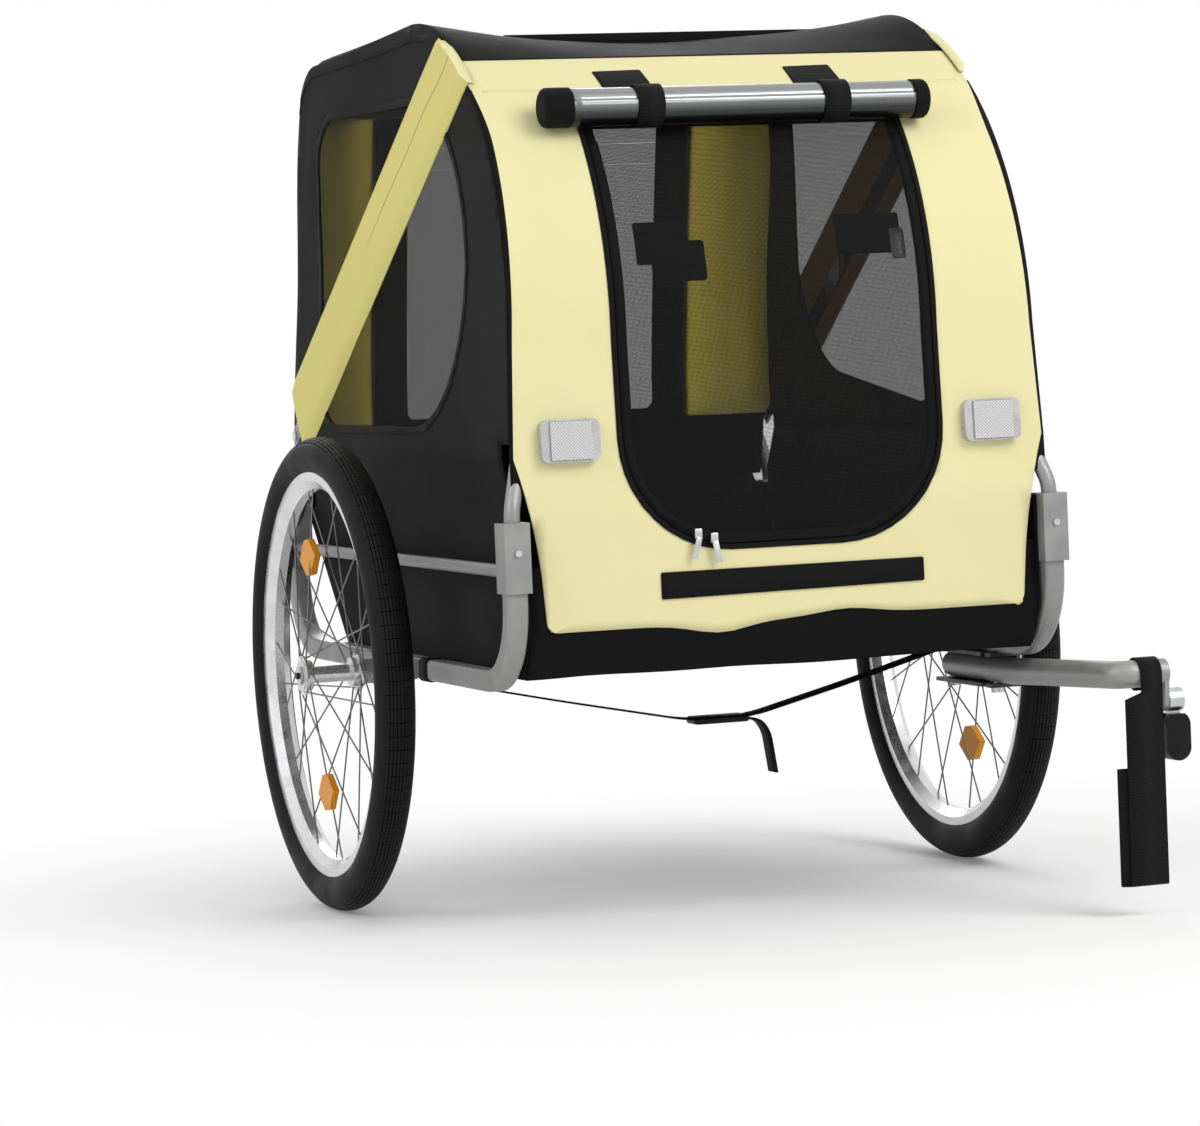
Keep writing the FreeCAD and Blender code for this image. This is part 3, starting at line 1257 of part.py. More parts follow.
def under_strap():
    """Webbing from rail to rail under the floor, with a loose tail."""
    hole = RAIL_SIZE / 2 + SEAT_GAP
    edge = hole + UNDER_STRAP_THICKNESS
    y0 = UNDER_STRAP_Y - UNDER_STRAP_WIDTH / 2
    y1 = UNDER_STRAP_Y + UNDER_STRAP_WIDTH / 2
    low_left, low_right = UNDER_STRAP_LOW_X
    top = RAIL_Z - edge + UNDER_STRAP_THICKNESS
    thick = V(0, 0, -UNDER_STRAP_THICKNESS)
    upper = [
        V(-RAIL_X, y0, top),
        V(low_left, y0, UNDER_STRAP_LOW_Z),
        V(low_right, y0, UNDER_STRAP_LOW_Z),
        V(RAIL_X, y0, top),
    ]
    band = polygon_face(upper + [point + thick for point in reversed(upper)])
    tail = polygon_face([
        upper[2],
        V(UNDER_STRAP_TAIL_X, y0, UNDER_STRAP_TAIL_Z),
        V(UNDER_STRAP_TAIL_X - UNDER_STRAP_THICKNESS, y0, UNDER_STRAP_TAIL_Z),
        upper[2] + thick - X_AXIS * UNDER_STRAP_THICKNESS,
    ])
    strap = band.extrude(V(0, y1 - y0, 0)).fuse(tail.extrude(V(0, y1 - y0, 0)))
    for name, side in SIDES:
        x = side * RAIL_X
        loop = box(x - edge, x + edge, y0, y1, RAIL_Z - edge, RAIL_Z + edge)
        strap = strap.fuse(loop)
    for name, side in SIDES:
        x = side * RAIL_X
        strap = strap.cut(box(x - hole, x + hole, y0, y1, RAIL_Z - hole, RAIL_Z + hole))
    return strap.removeSplitter()


def paired(make):
    """The left piece and its mirror image, as two separate solids."""
    left = make()
    return Part.makeCompound([left, mirrored(left)])


def build():
    skin = end_skin()
    pieces = {
        "cross_tubes": cross_tubes(),
        "upper_rails": upper_rails(),
        "corner_sleeves": Part.makeCompound(
            [on_side(corner_sleeve(y, outward), side) for name, side, y, outward in CORNERS]),
        "front_bow": front_bow(),
        "rear_bow": rear_bow(),
        "diagonal_struts": paired(diagonal_strut),
        "strut_rivets": strut_rivets(),
        "bracket_bolts": bracket_bolts(),
        "floor_board": floor_board(),
        "floor_tub": floor_tub(),
        "front_panel": end_wall(skin, FRONT_RANGE, FRONT_DOOR),
        "rear_panel": rear_panel(skin),
        "front_door": door_leaf(skin, FRONT_RANGE, FRONT_DOOR),
        "front_door_header": door_header(skin, FRONT_RANGE, FRONT_DOOR),
        "rear_door": door_leaf(skin, REAR_RANGE, REAR_DOOR),
        "rear_door_header": door_header(skin, REAR_RANGE, REAR_DOOR),
        "roof_panel": roof_panel(),
        "side_windows": paired(side_window),
        "strut_sleeves": paired(strut_wrap),
        "rain_cover_roll": rain_cover_roll(),
        "roll_ends": roll_ends(),
        "roll_straps": roll_straps(),
        "front_reflectors": reflector_frames(),
        "reflector_lenses": reflector_lenses(),
        "drawbar_bracket": drawbar_bracket(),
        "drawbar_tube": drawbar_tube(),
        "pivot_bolt": pivot_bolt(),
        "lock_pin": lock_pin(),
        "coupling_eye": coupling_eye(),
        "coupling_arm": coupling_arm(),
        "safety_strap": safety_strap(),
        "under_strap": under_strap(),
    }
    one_sided = {
        "side_frame": side_frame(),
        "side_panel": side_panel(),
        "axle": axle(),
        "axle_bracket": axle_bracket(),
        "release_button": release_button(),
    }
    wheel_set = {
        "tyre": tyre(),
        "rim": rim(),
        "hub": hub(),
        "bearings": bearings(),
        "spokes": spokes(),
        "wheel_reflectors": wheel_reflectors(),
    }
    for name, side in SIDES:
        for piece, shape in one_sided.items():
            pieces[piece + "_" + name] = on_side(shape, side)
        for piece, shape in wheel_set.items():
            pieces[piece + "_" + name] = at_wheel(on_side(shape, side), side)
    for name, side, y, outward in CORNERS:
        pieces["snap_button_" + name] = snap_button(side, y, outward)
    return pieces


def moved_to_origin(pieces):
    """Stands the tyres on the ground and puts the origin under the middle of the whole trailer."""
    whole = Part.makeCompound(list(pieces.values())).optimalBoundingBox(False, False)
    shift = -(whole.YMin + whole.YMax) / 2
    for shape in pieces.values():
        shape.translate(V(0, shift, WHEEL_RADIUS - AXLE_Z))
    return shift


PIECES = build()
ORIGIN_SHIFT = moved_to_origin(PIECES)
os.makedirs("parts", exist_ok=True)
for node, solid in PIECES.items():
    solid.exportStep("parts/" + node + ".step")
print(len(PIECES), "pieces, moved along Y by", round(ORIGIN_SHIFT, 3))
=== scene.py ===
# %% [markdown]
# # A dog trailer for a bicycle
# The trailer is a tube frame on two spoked wheels with a cabin of yellow and black cloth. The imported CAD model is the
# fixed frame: its tubes, wheels and fittings stay, and every cloth part is made again here as a thin sheet.

# %% Load the frame
import json
import math
import bmesh
import bpy
from mathutils import Matrix, Vector, bvhtree, kdtree, noise


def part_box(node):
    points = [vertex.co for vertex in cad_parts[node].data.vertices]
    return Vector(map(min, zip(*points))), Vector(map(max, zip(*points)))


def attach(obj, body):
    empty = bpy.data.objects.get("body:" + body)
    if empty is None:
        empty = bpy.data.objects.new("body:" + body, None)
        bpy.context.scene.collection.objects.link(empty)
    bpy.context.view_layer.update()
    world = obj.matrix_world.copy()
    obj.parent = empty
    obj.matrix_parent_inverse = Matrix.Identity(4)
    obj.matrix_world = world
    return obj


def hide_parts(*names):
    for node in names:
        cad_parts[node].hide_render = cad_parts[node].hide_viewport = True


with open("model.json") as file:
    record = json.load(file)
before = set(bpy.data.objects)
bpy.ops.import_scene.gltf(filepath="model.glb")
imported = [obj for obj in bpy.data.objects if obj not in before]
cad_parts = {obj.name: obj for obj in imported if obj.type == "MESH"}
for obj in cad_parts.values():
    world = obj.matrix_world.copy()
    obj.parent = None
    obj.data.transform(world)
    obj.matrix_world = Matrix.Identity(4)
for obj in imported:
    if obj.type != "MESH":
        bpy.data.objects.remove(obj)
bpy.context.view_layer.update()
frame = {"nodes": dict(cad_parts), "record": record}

scene = bpy.context.scene
hub_low, hub_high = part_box("hub_left")
AXLE_Y = (hub_low.y + hub_high.y) / 2
X_AXIS, Y_AXIS, Z_AXIS = Vector((1, 0, 0)), Vector((0, 1, 0)), Vector((0, 0, 1))
SIDES = (("left", 1), ("right", -1))

# %% [markdown]
# ## Camera
# The photograph was taken from the front, a little to the trailer's right, with a long lens. The place and the three
# directions below were worked out from points on the wheels and the frame. Lengths in this script are metres, with
# y = 0 at the axle, and each piece moves to the frame's own origin when it is finished.

# %% Camera
LENS = 138.35
SENSOR = 36.0
CAMERA_PLACE = Vector((-1.73397, -4.73966, 0.61760))
CAMERA_RIGHT = Vector((0.9409, -0.3361, -0.0421))
CAMERA_UP = Vector((0.0572, 0.0350, 0.9978))

camera_data = bpy.data.cameras.new("camera")
camera_data.sensor_fit = "HORIZONTAL"
camera_data.sensor_width = SENSOR
camera_data.lens = LENS
camera = bpy.data.objects.new("camera", camera_data)
scene.collection.objects.link(camera)
turn = Matrix((CAMERA_RIGHT, CAMERA_UP, CAMERA_RIGHT.cross(CAMERA_UP))).transposed()
camera.matrix_world = Matrix.Translation(CAMERA_PLACE + Y_AXIS * AXLE_Y) @ turn.to_4x4()
scene.camera = camera
scene.view_settings.view_transform = "Standard"
print("camera at", tuple(round(x, 3) for x in camera.matrix_world.translation))

# %% [markdown]
# ## Sums between sockets
# A finish is a small graph of nodes. Writing each Math node by hand hides the idea, so a socket is wrapped in a class
# that knows the signs + - * /, and an expression such as 1 - mask adds its own nodes. One method makes every other
# kind of node: it sets the node's own choices first and then its sockets.

# %% Socket class
class Wire:
    """A socket of a node tree, on which sums can be written."""

    def __init__(self, tree, socket):
        self.tree = tree
        self.socket = socket

    @classmethod
    def add(cls, tree, kind, settings=None, inputs=None, output=0):
        """Makes a shader node of this kind, sets its choices and its sockets, and gives one of its outputs."""
        node = tree.nodes.new("ShaderNode" + kind)
        for key, value in (settings or {}).items():
            setattr(node, key, value)
        for key, value in (inputs or {}).items():
            if isinstance(value, cls):
                tree.links.new(value.socket, node.inputs[key])
            else:
                node.inputs[key].default_value = value
        return cls(tree, node.outputs[output])

    def maths(self, operation, *values):
        return Wire.add(self.tree, "Math", {"operation": operation}, dict(enumerate(values)))

    def sine(self):
        return self.maths("SINE", self)

    def fraction(self):
        return self.maths("FRACT", self)

    def size(self):
        return self.maths("ABSOLUTE", self)

    def larger(self, other):
        return self.maths("MAXIMUM", self, other)

    def above(self, level):
        return self.maths("GREATER_THAN", self, level)

    def __add__(self, other):
        return self.maths("ADD", self, other)

    def __sub__(self, other):
        return self.maths("SUBTRACT", self, other)

    def __rsub__(self, other):
        return self.maths("SUBTRACT", other, self)

    def __mul__(self, other):
        return self.maths("MULTIPLY", self, other)

    def __truediv__(self, other):
        return self.maths("DIVIDE", self, other)

    __radd__ = __add__
    __rmul__ = __mul__


print("socket class ready")


# %% Nodes that most finishes use
def split(vector):
    """The three numbers of a vector socket."""
    node = Wire.add(vector.tree, "SeparateXYZ", None, {"Vector": vector}).socket.node
    return [Wire(vector.tree, socket) for socket in node.outputs]


def speckle(vector, scale, detail):
    """Soft noise from 0 to 1, with this many cells in a metre."""
    inputs = {"Vector": vector, "Scale": scale, "Detail": detail}
    return Wire.add(vector.tree, "TexNoise", None, inputs)


def blend(share, low, high):
    """A colour between two others."""
    return Wire.add(share.tree, "Mix", {"data_type": "RGBA"}, {0: share, 6: low, 7: high}, 2)


def ramp(value, low, high, smallest=0.0, largest=1.0):
    """Runs smoothly from smallest to largest while a value goes from low to high."""
    inputs = {0: value, 1: low, 2: high, 3: smallest, 4: largest}
    return Wire.add(value.tree, "MapRange", {"interpolation_type": "SMOOTHSTEP"}, inputs)


print("nodes ready:", split.__name__, speckle.__name__, blend.__name__, ramp.__name__)

# %% [markdown]
# ## Studio
# The photograph has a white background and a soft shadow under the trailer. The floor is pale and takes the shadow.
# Only rays from the camera, or seen in metal or through film, find it fading to white further out, so this white
# sends no light on to the object. A uniform pale world and three large lamps light everything at a plain level.

# %% Floor
FLOOR_SIZE = 16.0
FLOOR_FADE = (0.40, 1.30)
FLOOR_LIFT = 0.13
FLOOR_MIDDLE = (0.09, -0.06, 0.0)
FLOOR_GREY = 0.88


def grey(level):
    """A colour without hue."""
    return (level, level, level, 1)


def seen_directly(tree):
    """1 for rays from the camera, in a reflection or through something clear, else 0."""
    rays = Wire.add(tree, "LightPath").socket.node.outputs
    found = [Wire(tree, rays[name]) for name in ("Is Camera Ray", "Is Glossy Ray", "Is Transmission Ray")]
    return found[0].larger(found[1]).larger(found[2])


floor_paint = bpy.data.materials.new("studio_floor")
floor_paint.use_nodes = True
tree = floor_paint.node_tree
tree.nodes.clear()
spot = Wire.add(tree, "TexCoord", None, None, 3)
distance = Wire.add(tree, "VectorMath", {"operation": "DISTANCE"}, {0: spot, 1: FLOOR_MIDDLE}, 1)
matt = Wire.add(tree, "BsdfDiffuse", None, {"Color": grey(FLOOR_GREY)})
white = Wire.add(tree, "Emission", None, {"Color": grey(1), "Strength": 1.0})
fade = ramp(distance, *FLOOR_FADE, FLOOR_LIFT, 1.0) * seen_directly(tree)
mixed = Wire.add(tree, "MixShader", None, {0: fade, 1: matt, 2: white})
surface = tree.nodes.new("ShaderNodeOutputMaterial")
tree.links.new(mixed.socket, surface.inputs["Surface"])

sheet = bmesh.new()
bmesh.ops.create_grid(sheet, x_segments=8, y_segments=8, size=FLOOR_SIZE / 2)
floor_mesh = bpy.data.meshes.new("studio_floor")
sheet.to_mesh(floor_mesh)
sheet.free()
floor_mesh.materials.append(floor_paint)
studio_floor = bpy.data.objects.new("studio_floor", floor_mesh)
scene.collection.objects.link(studio_floor)
print("floor", FLOOR_SIZE, "m wide")

# %% World
AMBIENT = 0.66

scene.world = bpy.data.worlds.new("studio")
scene.world.use_nodes = True
tree = scene.world.node_tree
tree.nodes.clear()
level = AMBIENT + (1 - AMBIENT) * seen_directly(tree)
sky = Wire.add(tree, "Background", None, {"Color": grey(1), "Strength": level})
outer = tree.nodes.new("ShaderNodeOutputWorld")
tree.links.new(sky.socket, outer.inputs["Surface"])
print("world at", AMBIENT)

# %% Lamps
LAMPS = (
    ("key_lamp", (1.6, -3.0, 3.0), 2.6, 92.0),
    ("left_lamp", (-3.0, -1.2, 2.2), 2.0, 26.0),
    ("rear_lamp", (0.6, 3.4, 1.8), 2.0, 44.0),
)
AIM = Vector((0.0, 0.1, 0.5))
for name, place, size, power in LAMPS:
    lamp_data = bpy.data.lights.new(name, "AREA")
    lamp_data.shape = "DISK"
    lamp_data.size = size
    lamp_data.energy = power
    lamp = bpy.data.objects.new(name, lamp_data)
    scene.collection.objects.link(lamp)
    lamp.location = place
    lamp.rotation_euler = (AIM - Vector(place)).to_track_quat("-Z", "Y").to_euler()
    print(name, power, "W")

# %% [markdown]
# ## Cloth finishes
# The walls are coated woven cloth, the doors and windows an open net, and the straps webbing. Each sheet carries a map
# in metres, so a thread has its real width wherever the sheet goes. The weave is the product of two sine waves, which
# gives the over-and-under of a plain weave as height for a bump.

# %% Starting a finish
def new_finish(name, plain):
    """A material with its shader, whose plain values are set on the shader's own sockets."""
    material = bpy.data.materials.new(name)
    material.use_nodes = True
    shader = material.node_tree.nodes["Principled BSDF"]
    for key, value in plain.items():
        shader.inputs[key].default_value = value
    return material, shader


def feed(shader, **wires):
    """Links wires to the shader's sockets, named with _ for a space."""
    for key, wire in wires.items():
        wire.tree.links.new(wire.socket, shader.inputs[key.replace("_", " ")])


def bump(height, depth):
    return Wire.add(height.tree, "Bump", None, {"Height": height, "Distance": depth})


def cloth_finish(name, plain):
    """A finish that follows the sheet's map, with the map and its two directions."""
    material, shader = new_finish(name, plain)
    flat = Wire.add(material.node_tree, "UVMap", {"uv_map": "Cloth"})
    return material, shader, flat, *split(flat)[:2]


print("finishes start from the Principled shader")

# %% Woven cloth
TURN = 2 * math.pi


def woven(name, dark, light, thread, roughness, gloss, seam=None):
    """Coated plain weave: threads, a faint unevenness of colour, rubbed patches, and perhaps one line of stitches."""
    material, shader, flat, across, along = cloth_finish(name, {"Specular IOR Level": gloss})
    weave = (across * (TURN / thread)).sine() * (along * (TURN / thread)).sine()
    slub = speckle(flat, 900.0, 1.0)
    patch = speckle(flat, 7.0, 4.0)
    share = 0.25 * weave + 0.5 * patch + 0.3 * slub
    colour = blend(ramp(share, 0.1, 0.8), dark, light)
    if seam:
        place, low, high, tint = seam
        line = ramp((across - place).size(), 0.0004, 0.0012, 1.0, 0.0) * ramp(along, low, high)
        colour = blend(line, colour, tint)
    feed(shader, Base_Color=colour)
    feed(shader, Roughness=ramp(patch, 0.2, 0.8, roughness - 0.06, roughness + 0.06))
    feed(shader, Normal=bump(weave + 0.6 * slub + 3.0 * patch, 0.00012))
    return material


def let_light_through(material, colour, share):
    """Mixes in light that soaks through the cloth from its other side."""
    tree = material.node_tree
    surface = tree.nodes["Material Output"].inputs["Surface"]
    front = Wire(tree, tree.nodes["Principled BSDF"].outputs[0])
    through = Wire.add(tree, "BsdfTranslucent", None, {"Color": colour})
    both = Wire.add(tree, "MixShader", None, {0: share, 1: front, 2: through})
    tree.links.new(both.socket, surface)


print("weave ready")

# %% Yellow and black cloth
yellow_cloth = woven("yellow_cloth", (0.725, 0.675, 0.355, 1), (0.805, 0.750, 0.430, 1), 0.0012, 0.62, 0.25)
SLEEVE_SEAM = (0.6204, 0.30, 0.42, (0.40, 0.36, 0.14, 1))
deep_yellow = woven("deep_yellow_cloth", (0.90, 0.83, 0.27, 1), (0.97, 0.90, 0.35, 1), 0.0012, 0.62, 0.2, SLEEVE_SEAM)
let_light_through(deep_yellow, (0.90, 0.72, 0.22, 1), 0.24)
thin_yellow = woven("thin_yellow_cloth", (0.80, 0.73, 0.36, 1), (0.88, 0.80, 0.43, 1), 0.0012, 0.65, 0.2)
let_light_through(thin_yellow, (0.92, 0.84, 0.42, 1), 0.62)
lining_yellow = woven("lining_yellow_cloth", (0.80, 0.71, 0.30, 1), (0.88, 0.79, 0.37, 1), 0.0012, 0.65, 0.1)
let_light_through(lining_yellow, (0.98, 0.97, 0.78, 1), 0.92)
black_cloth = woven("black_cloth", grey(0.004), grey(0.008), 0.0014, 0.64, 0.08)
print("woven", yellow_cloth.name, deep_yellow.name, thin_yellow.name, black_cloth.name)

# %% [markdown]
# ## Net
# The doors and windows are a fine black net. Modelled threads would take millions of faces, so the holes are drawn by
# the Alpha of the finish: a place is a hole where it is far enough from both rows of threads. The windows' net has a
# pitch too fine to show, and gets a slanted, paler pattern over an even veil.

# %% Open net
NET_PITCH = 0.0013
NET_OPEN = 0.68
NET_SWAY = 0.6 * NET_PITCH
NET = 0.00015


def net(name, colour, slant, veil, thread):
    """Black net: threads round square holes, which let the light through. A veil stands for threads too fine to see."""
    plain = {"Base Color": colour, "Roughness": 0.7, "Specular IOR Level": 0.1}
    material, shader, flat, across, along = cloth_finish(name, plain)
    sway = (speckle(flat, 30.0, 1.0) - 0.5) * NET_SWAY
    rows = (across + along * slant + sway, along - across * slant + sway)
    size = NET_PITCH * math.sqrt(1 + slant ** 2)
    inward = [((value * (1 / size)).fraction() * 2 - 1).size() for value in rows]
    nearest = inward[0].larger(inward[1])
    feed(shader, Alpha=nearest.above(NET_OPEN) * thread + veil, Normal=bump(1 - nearest, 0.0003))
    return material


black_net = net("black_net", grey(0.012), 0.0, 0.0, 1.0)
window_net = net("window_net", grey(0.012), 0.75, 0.34, 0.20)
print("net of", NET_PITCH, "m pitch, open share", round(NET_OPEN ** 2, 2))

# %% [markdown]
# ## Webbing
# Straps are woven of thick ribs, and hook tape of finer ones. Both share one finish with a rib of its own size.

# %% Webbing and hook tape
def webbing_finish(name, dark, light, rib):
    """Strap webbing: ribs across its length with a slanted twill."""
    material, shader, flat, across, along = cloth_finish(name, {"Specular IOR Level": 0.12})
    ribs = (along * (TURN / rib)).sine()
    twill = ((across + along) * (TURN / (rib * 2))).sine()
    fluff = speckle(flat, 1500.0, 2.0)
    feed(shader, Base_Color=blend(ramp(ribs + twill + fluff, -1.0, 2.0), dark, light))
    feed(shader, Roughness=ramp(fluff, 0.3, 0.7, 0.55, 0.75), Normal=bump(ribs + 0.5 * twill + fluff, 0.0002))
    return material


webbing = webbing_finish("webbing", grey(0.004), grey(0.011), 0.0016)
hook_tape = webbing_finish("hook_tape", grey(0.003), grey(0.010), 0.0009)
print("webbing", webbing.name, hook_tape.name)

# %% [markdown]
# ## Hard finishes
# The frame is silver powder coat, the fittings zinc and alloy, the tyres rubber, and the lenses ribbed plastic. They
# read Object coordinates, because the CAD solids carry no map of their own.

# %% Metal and plastic
def object_place(material):
    return Wire.add(material.node_tree, "TexCoord", None, None, 3)


def metal(name, dark, light, roughness, grain, metallic):
    """Coated or bare metal: a fine grain, a few handling marks, and uneven gloss."""
    material, shader = new_finish(name, {"Metallic": metallic})
    place = object_place(material)
    fine = speckle(place, grain, 3.0)
    marks = speckle(place, 38.0, 6.0)
    feed(shader, Base_Color=blend(ramp(marks, 0.2, 0.9), dark, light))
    feed(shader, Roughness=ramp(fine + marks, 0.7, 1.3, roughness - 0.08, roughness + 0.1))
    feed(shader, Normal=bump(fine, 0.00006))
    return material


def plastic(name, dark, light, roughness, grain):
    """Moulded plastic or rubber with a fine leather grain."""
    material, shader = new_finish(name, {"Specular IOR Level": 0.18})
    place = object_place(material)
    fine = speckle(place, grain, 2.0)
    wear = speckle(place, 24.0, 5.0)
    feed(shader, Base_Color=blend(ramp(wear, 0.4, 0.75), dark, light))
    feed(shader, Roughness=ramp(wear, 0.3, 0.7, roughness - 0.08, roughness + 0.08), Normal=bump(fine, 0.0001))
    return material


def lens(name, dark, light, rib, gloss):
    """Reflector plastic: rows of small prisms under a smooth face."""
    material, shader = new_finish(name, {"Roughness": 0.28, "Specular IOR Level": gloss})
    x, y, z = split(object_place(material))
    prisms = ((x + y) * (TURN / rib)).sine() * (z * (TURN / rib)).sine()
    feed(shader, Base_Color=blend(ramp(prisms, -0.6, 0.6), dark, light), Normal=bump(prisms, 0.00015))
    return material


HARD = {
    "frame_silver": metal("silver_coat", grey(0.25), (0.32, 0.32, 0.315, 1), 0.42, 700.0, 0.4),
    "frame_black": metal("black_coat", grey(0.016), grey(0.030), 0.45, 700.0, 0.0),
    "steel": metal("zinc_plate", (0.50, 0.51, 0.52, 1), (0.66, 0.67, 0.68, 1), 0.30, 1200.0, 1.0),
    "rim_alloy": metal("wheel_alloy", (0.62, 0.62, 0.63, 1), (0.78, 0.78, 0.79, 1), 0.30, 900.0, 0.95),
    "tyre": plastic("tyre_rubber", grey(0.0035), grey(0.007), 0.62, 900.0),
    "black_plastic": plastic("black_plastic", grey(0.004), grey(0.010), 0.42, 1400.0),
    "white_plastic": metal("reflector_shell", grey(0.44), grey(0.54), 0.30, 1200.0, 0.4),
    "clear_lens": lens("clear_prisms", grey(0.38), grey(0.60), 0.0036, 0.35),
    "amber_lens": lens("amber_prisms", (0.58, 0.20, 0.004, 1), (0.92, 0.38, 0.015, 1), 0.0036, 0.1),
    "floor_board": plastic("floor_board", (0.012, 0.012, 0.011, 1), (0.022, 0.021, 0.020, 1), 0.60, 300.0),
}
print(len(HARD), "hard finishes")

# %% Finishes on the CAD nodes
spoke_steel = metal("spoke_steel", grey(0.13), grey(0.22), 0.35, 1200.0, 0.6)
slot_of = {part["node"]: part["material_slot"] for part in frame["record"]["subparts"]}
for name, node in frame["nodes"].items():
    finish = spoke_steel if name.startswith("spokes") else HARD.get(slot_of[name])
    if finish:
        node.data.materials.clear()
        node.data.materials.append(finish)
print(len(frame["nodes"]), "CAD nodes looked through")

# %% [markdown]
# ## Helpers for sheets
# A wall of the cabin is a sheet. The quickest true start is the outer side of its CAD solid: a copy is merged, the
# faces that don't look outwards are deleted, and straight cuts give it cells that can carry wrinkles.

# %% Skins and cells
CLOTH = 0.002
MERGE = 0.00001
FACING = 0.25
CELL, FINE_CELL = 0.016, 0.012


def looking(outward, least=FACING):
    """A test for faces that look one way, on that side of the trailer."""
    return lambda face: face.normal.dot(outward) > least and face.calc_center_median().dot(outward) > 0


def keep(bm, test):
    """Deletes the faces that don't pass a test."""
    bmesh.ops.delete(bm, geom=[face for face in bm.faces if not test(face)], context="FACES")


def skin_of(node, outside):
    """The outer side of a CAD node, as an open sheet in the axle's frame."""
    bm = bmesh.new()
    bm.from_mesh(frame["nodes"][node].data)
    bmesh.ops.translate(bm, vec=-Y_AXIS * AXLE_Y, verts=bm.verts)
    bmesh.ops.remove_doubles(bm, verts=bm.verts, dist=MERGE)
    bm.normal_update()
    keep(bm, outside)
    return bm


def cut_at(bm, axis, place, **clear):
    """Cuts a mesh by a plane across an axis, and may clear what lies on one side of it."""
    bmesh.ops.bisect_plane(bm, geom=bm.verts[:] + bm.edges[:] + bm.faces[:], dist=MERGE, plane_co=axis * place,
                           plane_no=axis, **clear)


def cut_cells(bm, axes, cell=CELL):
    """Cuts a sheet along parallel lines across each of the axes."""
    for axis in axes:
        reach = [vert.co.dot(axis) for vert in bm.verts]
        for step in range(math.floor(min(reach) / cell) + 1, math.ceil(max(reach) / cell)):
            cut_at(bm, axis, step * cell)


print("cells of", CELL, "m")


# %% Wrinkles
def wrinkle(bm, height, length, fade, seed, stretch=(1, 1, 1)):
    """Lifts a sheet by soft noise, and leaves its edges where they are sewn."""
    edge = [vert.co.copy() for vert in bm.verts if vert.is_boundary]
    tree = kdtree.KDTree(len(edge))
    for index, place in enumerate(edge):
        tree.insert(place, index)
    tree.balance()
    bm.normal_update()
    moves = []
    for vert in bm.verts:
        share = min(1.0, tree.find(vert.co)[2] / fade)
        spot = Vector(a * b for a, b in zip(vert.co, stretch)) / length + Vector((seed, seed, seed))
        moves.append(vert.normal * (height * share * share * (3 - 2 * share) * noise.noise(spot)))
    for vert, move in zip(bm.verts, moves):
        vert.co += move


print("wrinkles ready")

# %% [markdown]
# ## Flat pieces and edges
# Small trim starts as one flat face with a few corners, and vertex bevels round them. Hems and piping are edges drawn
# out of a sheet. A second sheet laid beside it would show a gap at the seam.

# %% Flat pieces
def rounded(bm, corners, radius, segments, affect="VERTICES"):
    """Rounds corners, or whole edges."""
    bmesh.ops.bevel(bm, geom=corners, offset=radius, offset_type="OFFSET", affect=affect, segments=segments,
                    profile=0.5, material=-1)


def flat_face(corners):
    """One flat face from (x, z, corner radius) in turn, its corners rounded."""
    bm = bmesh.new()
    verts = [bm.verts.new((x, 0, z)) for x, z, radius in corners]
    bm.faces.new(verts)
    for vert, (x, z, radius) in zip(verts, corners):
        if radius:
            rounded(bm, [vert], radius, 10)
    bm.faces.ensure_lookup_table()
    return bm


def band_of(bm, width):
    """Keeps only a band along the outline of a flat sheet."""
    band = set(bmesh.ops.inset_region(bm, faces=bm.faces, thickness=width, use_boundary=True,
                                      use_even_offset=True)["faces"])
    keep(bm, lambda face: face in band)


print("flat pieces ready")


# %% Edges and normals
def face_towards(bm, direction):
    """Turns a sheet's faces so that together they look one way."""
    bm.normal_update()
    if sum(face.normal.dot(direction) * face.calc_area() for face in bm.faces) < 0:
        bmesh.ops.reverse_faces(bm, faces=bm.faces)
    bm.normal_update()


def agree(bm, direction=None):
    """Makes neighbouring faces look the same way, and all of them together one way where it is given."""
    bmesh.ops.recalc_face_normals(bm, faces=bm.faces)
    if direction:
        face_towards(bm, direction)


def edges_where(bm, test):
    """The edges on a sheet's outline whose ends both pass a test."""
    return [edge for edge in bm.edges if edge.is_boundary and all(test(vert.co) for vert in edge.verts)]


def drawn_on(bm, edges):
    """Draws edges out and gives the new vertices and edges."""
    made = bmesh.ops.extrude_edge_only(bm, edges=edges)["geom"]
    return ([item for item in made if isinstance(item, bmesh.types.BMVert)],
            [item for item in made if isinstance(item, bmesh.types.BMEdge)])


print("edges ready")

# %% [markdown]
# ## Finishing a piece
# Every new piece ends the same way, so one function does it. The map is laid flat along two directions, smooth shading
# stops at folds, a Solidify modifier gives the sheet its thickness, and the piece rides on the body that carries it.

# %% Finished pieces
SHARP = math.radians(40)


def finished(name, bm, finishes, across=None, along=None, thickness=0.0, offset=-1.0, body="chassis"):
    """Maps a mesh, moves it to the frame's origin, and makes it a piece that rides on a body."""
    if across:
        layer = bm.loops.layers.uv.new("Cloth")
        for face in bm.faces:
            for loop in face.loops:
                loop[layer].uv = (loop.vert.co.dot(across), loop.vert.co.dot(along))
    bmesh.ops.translate(bm, vec=Y_AXIS * AXLE_Y, verts=bm.verts)
    mesh = bpy.data.meshes.new(name)
    bm.to_mesh(mesh)
    bm.free()
    mesh.shade_smooth()
    mesh.set_sharp_from_angle(angle=SHARP)
    for finish in finishes:
        mesh.materials.append(finish)
    made = bpy.data.objects.new(name, mesh)
    scene.collection.objects.link(made)
    if thickness:
        wall = made.modifiers.new("thickness", "SOLIDIFY")
        wall.thickness = thickness
        wall.offset = offset
    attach(made, body)
    print(name, len(mesh.polygons), "faces on", body)
    return made


print("pieces fold at", round(math.degrees(SHARP)), "degrees")

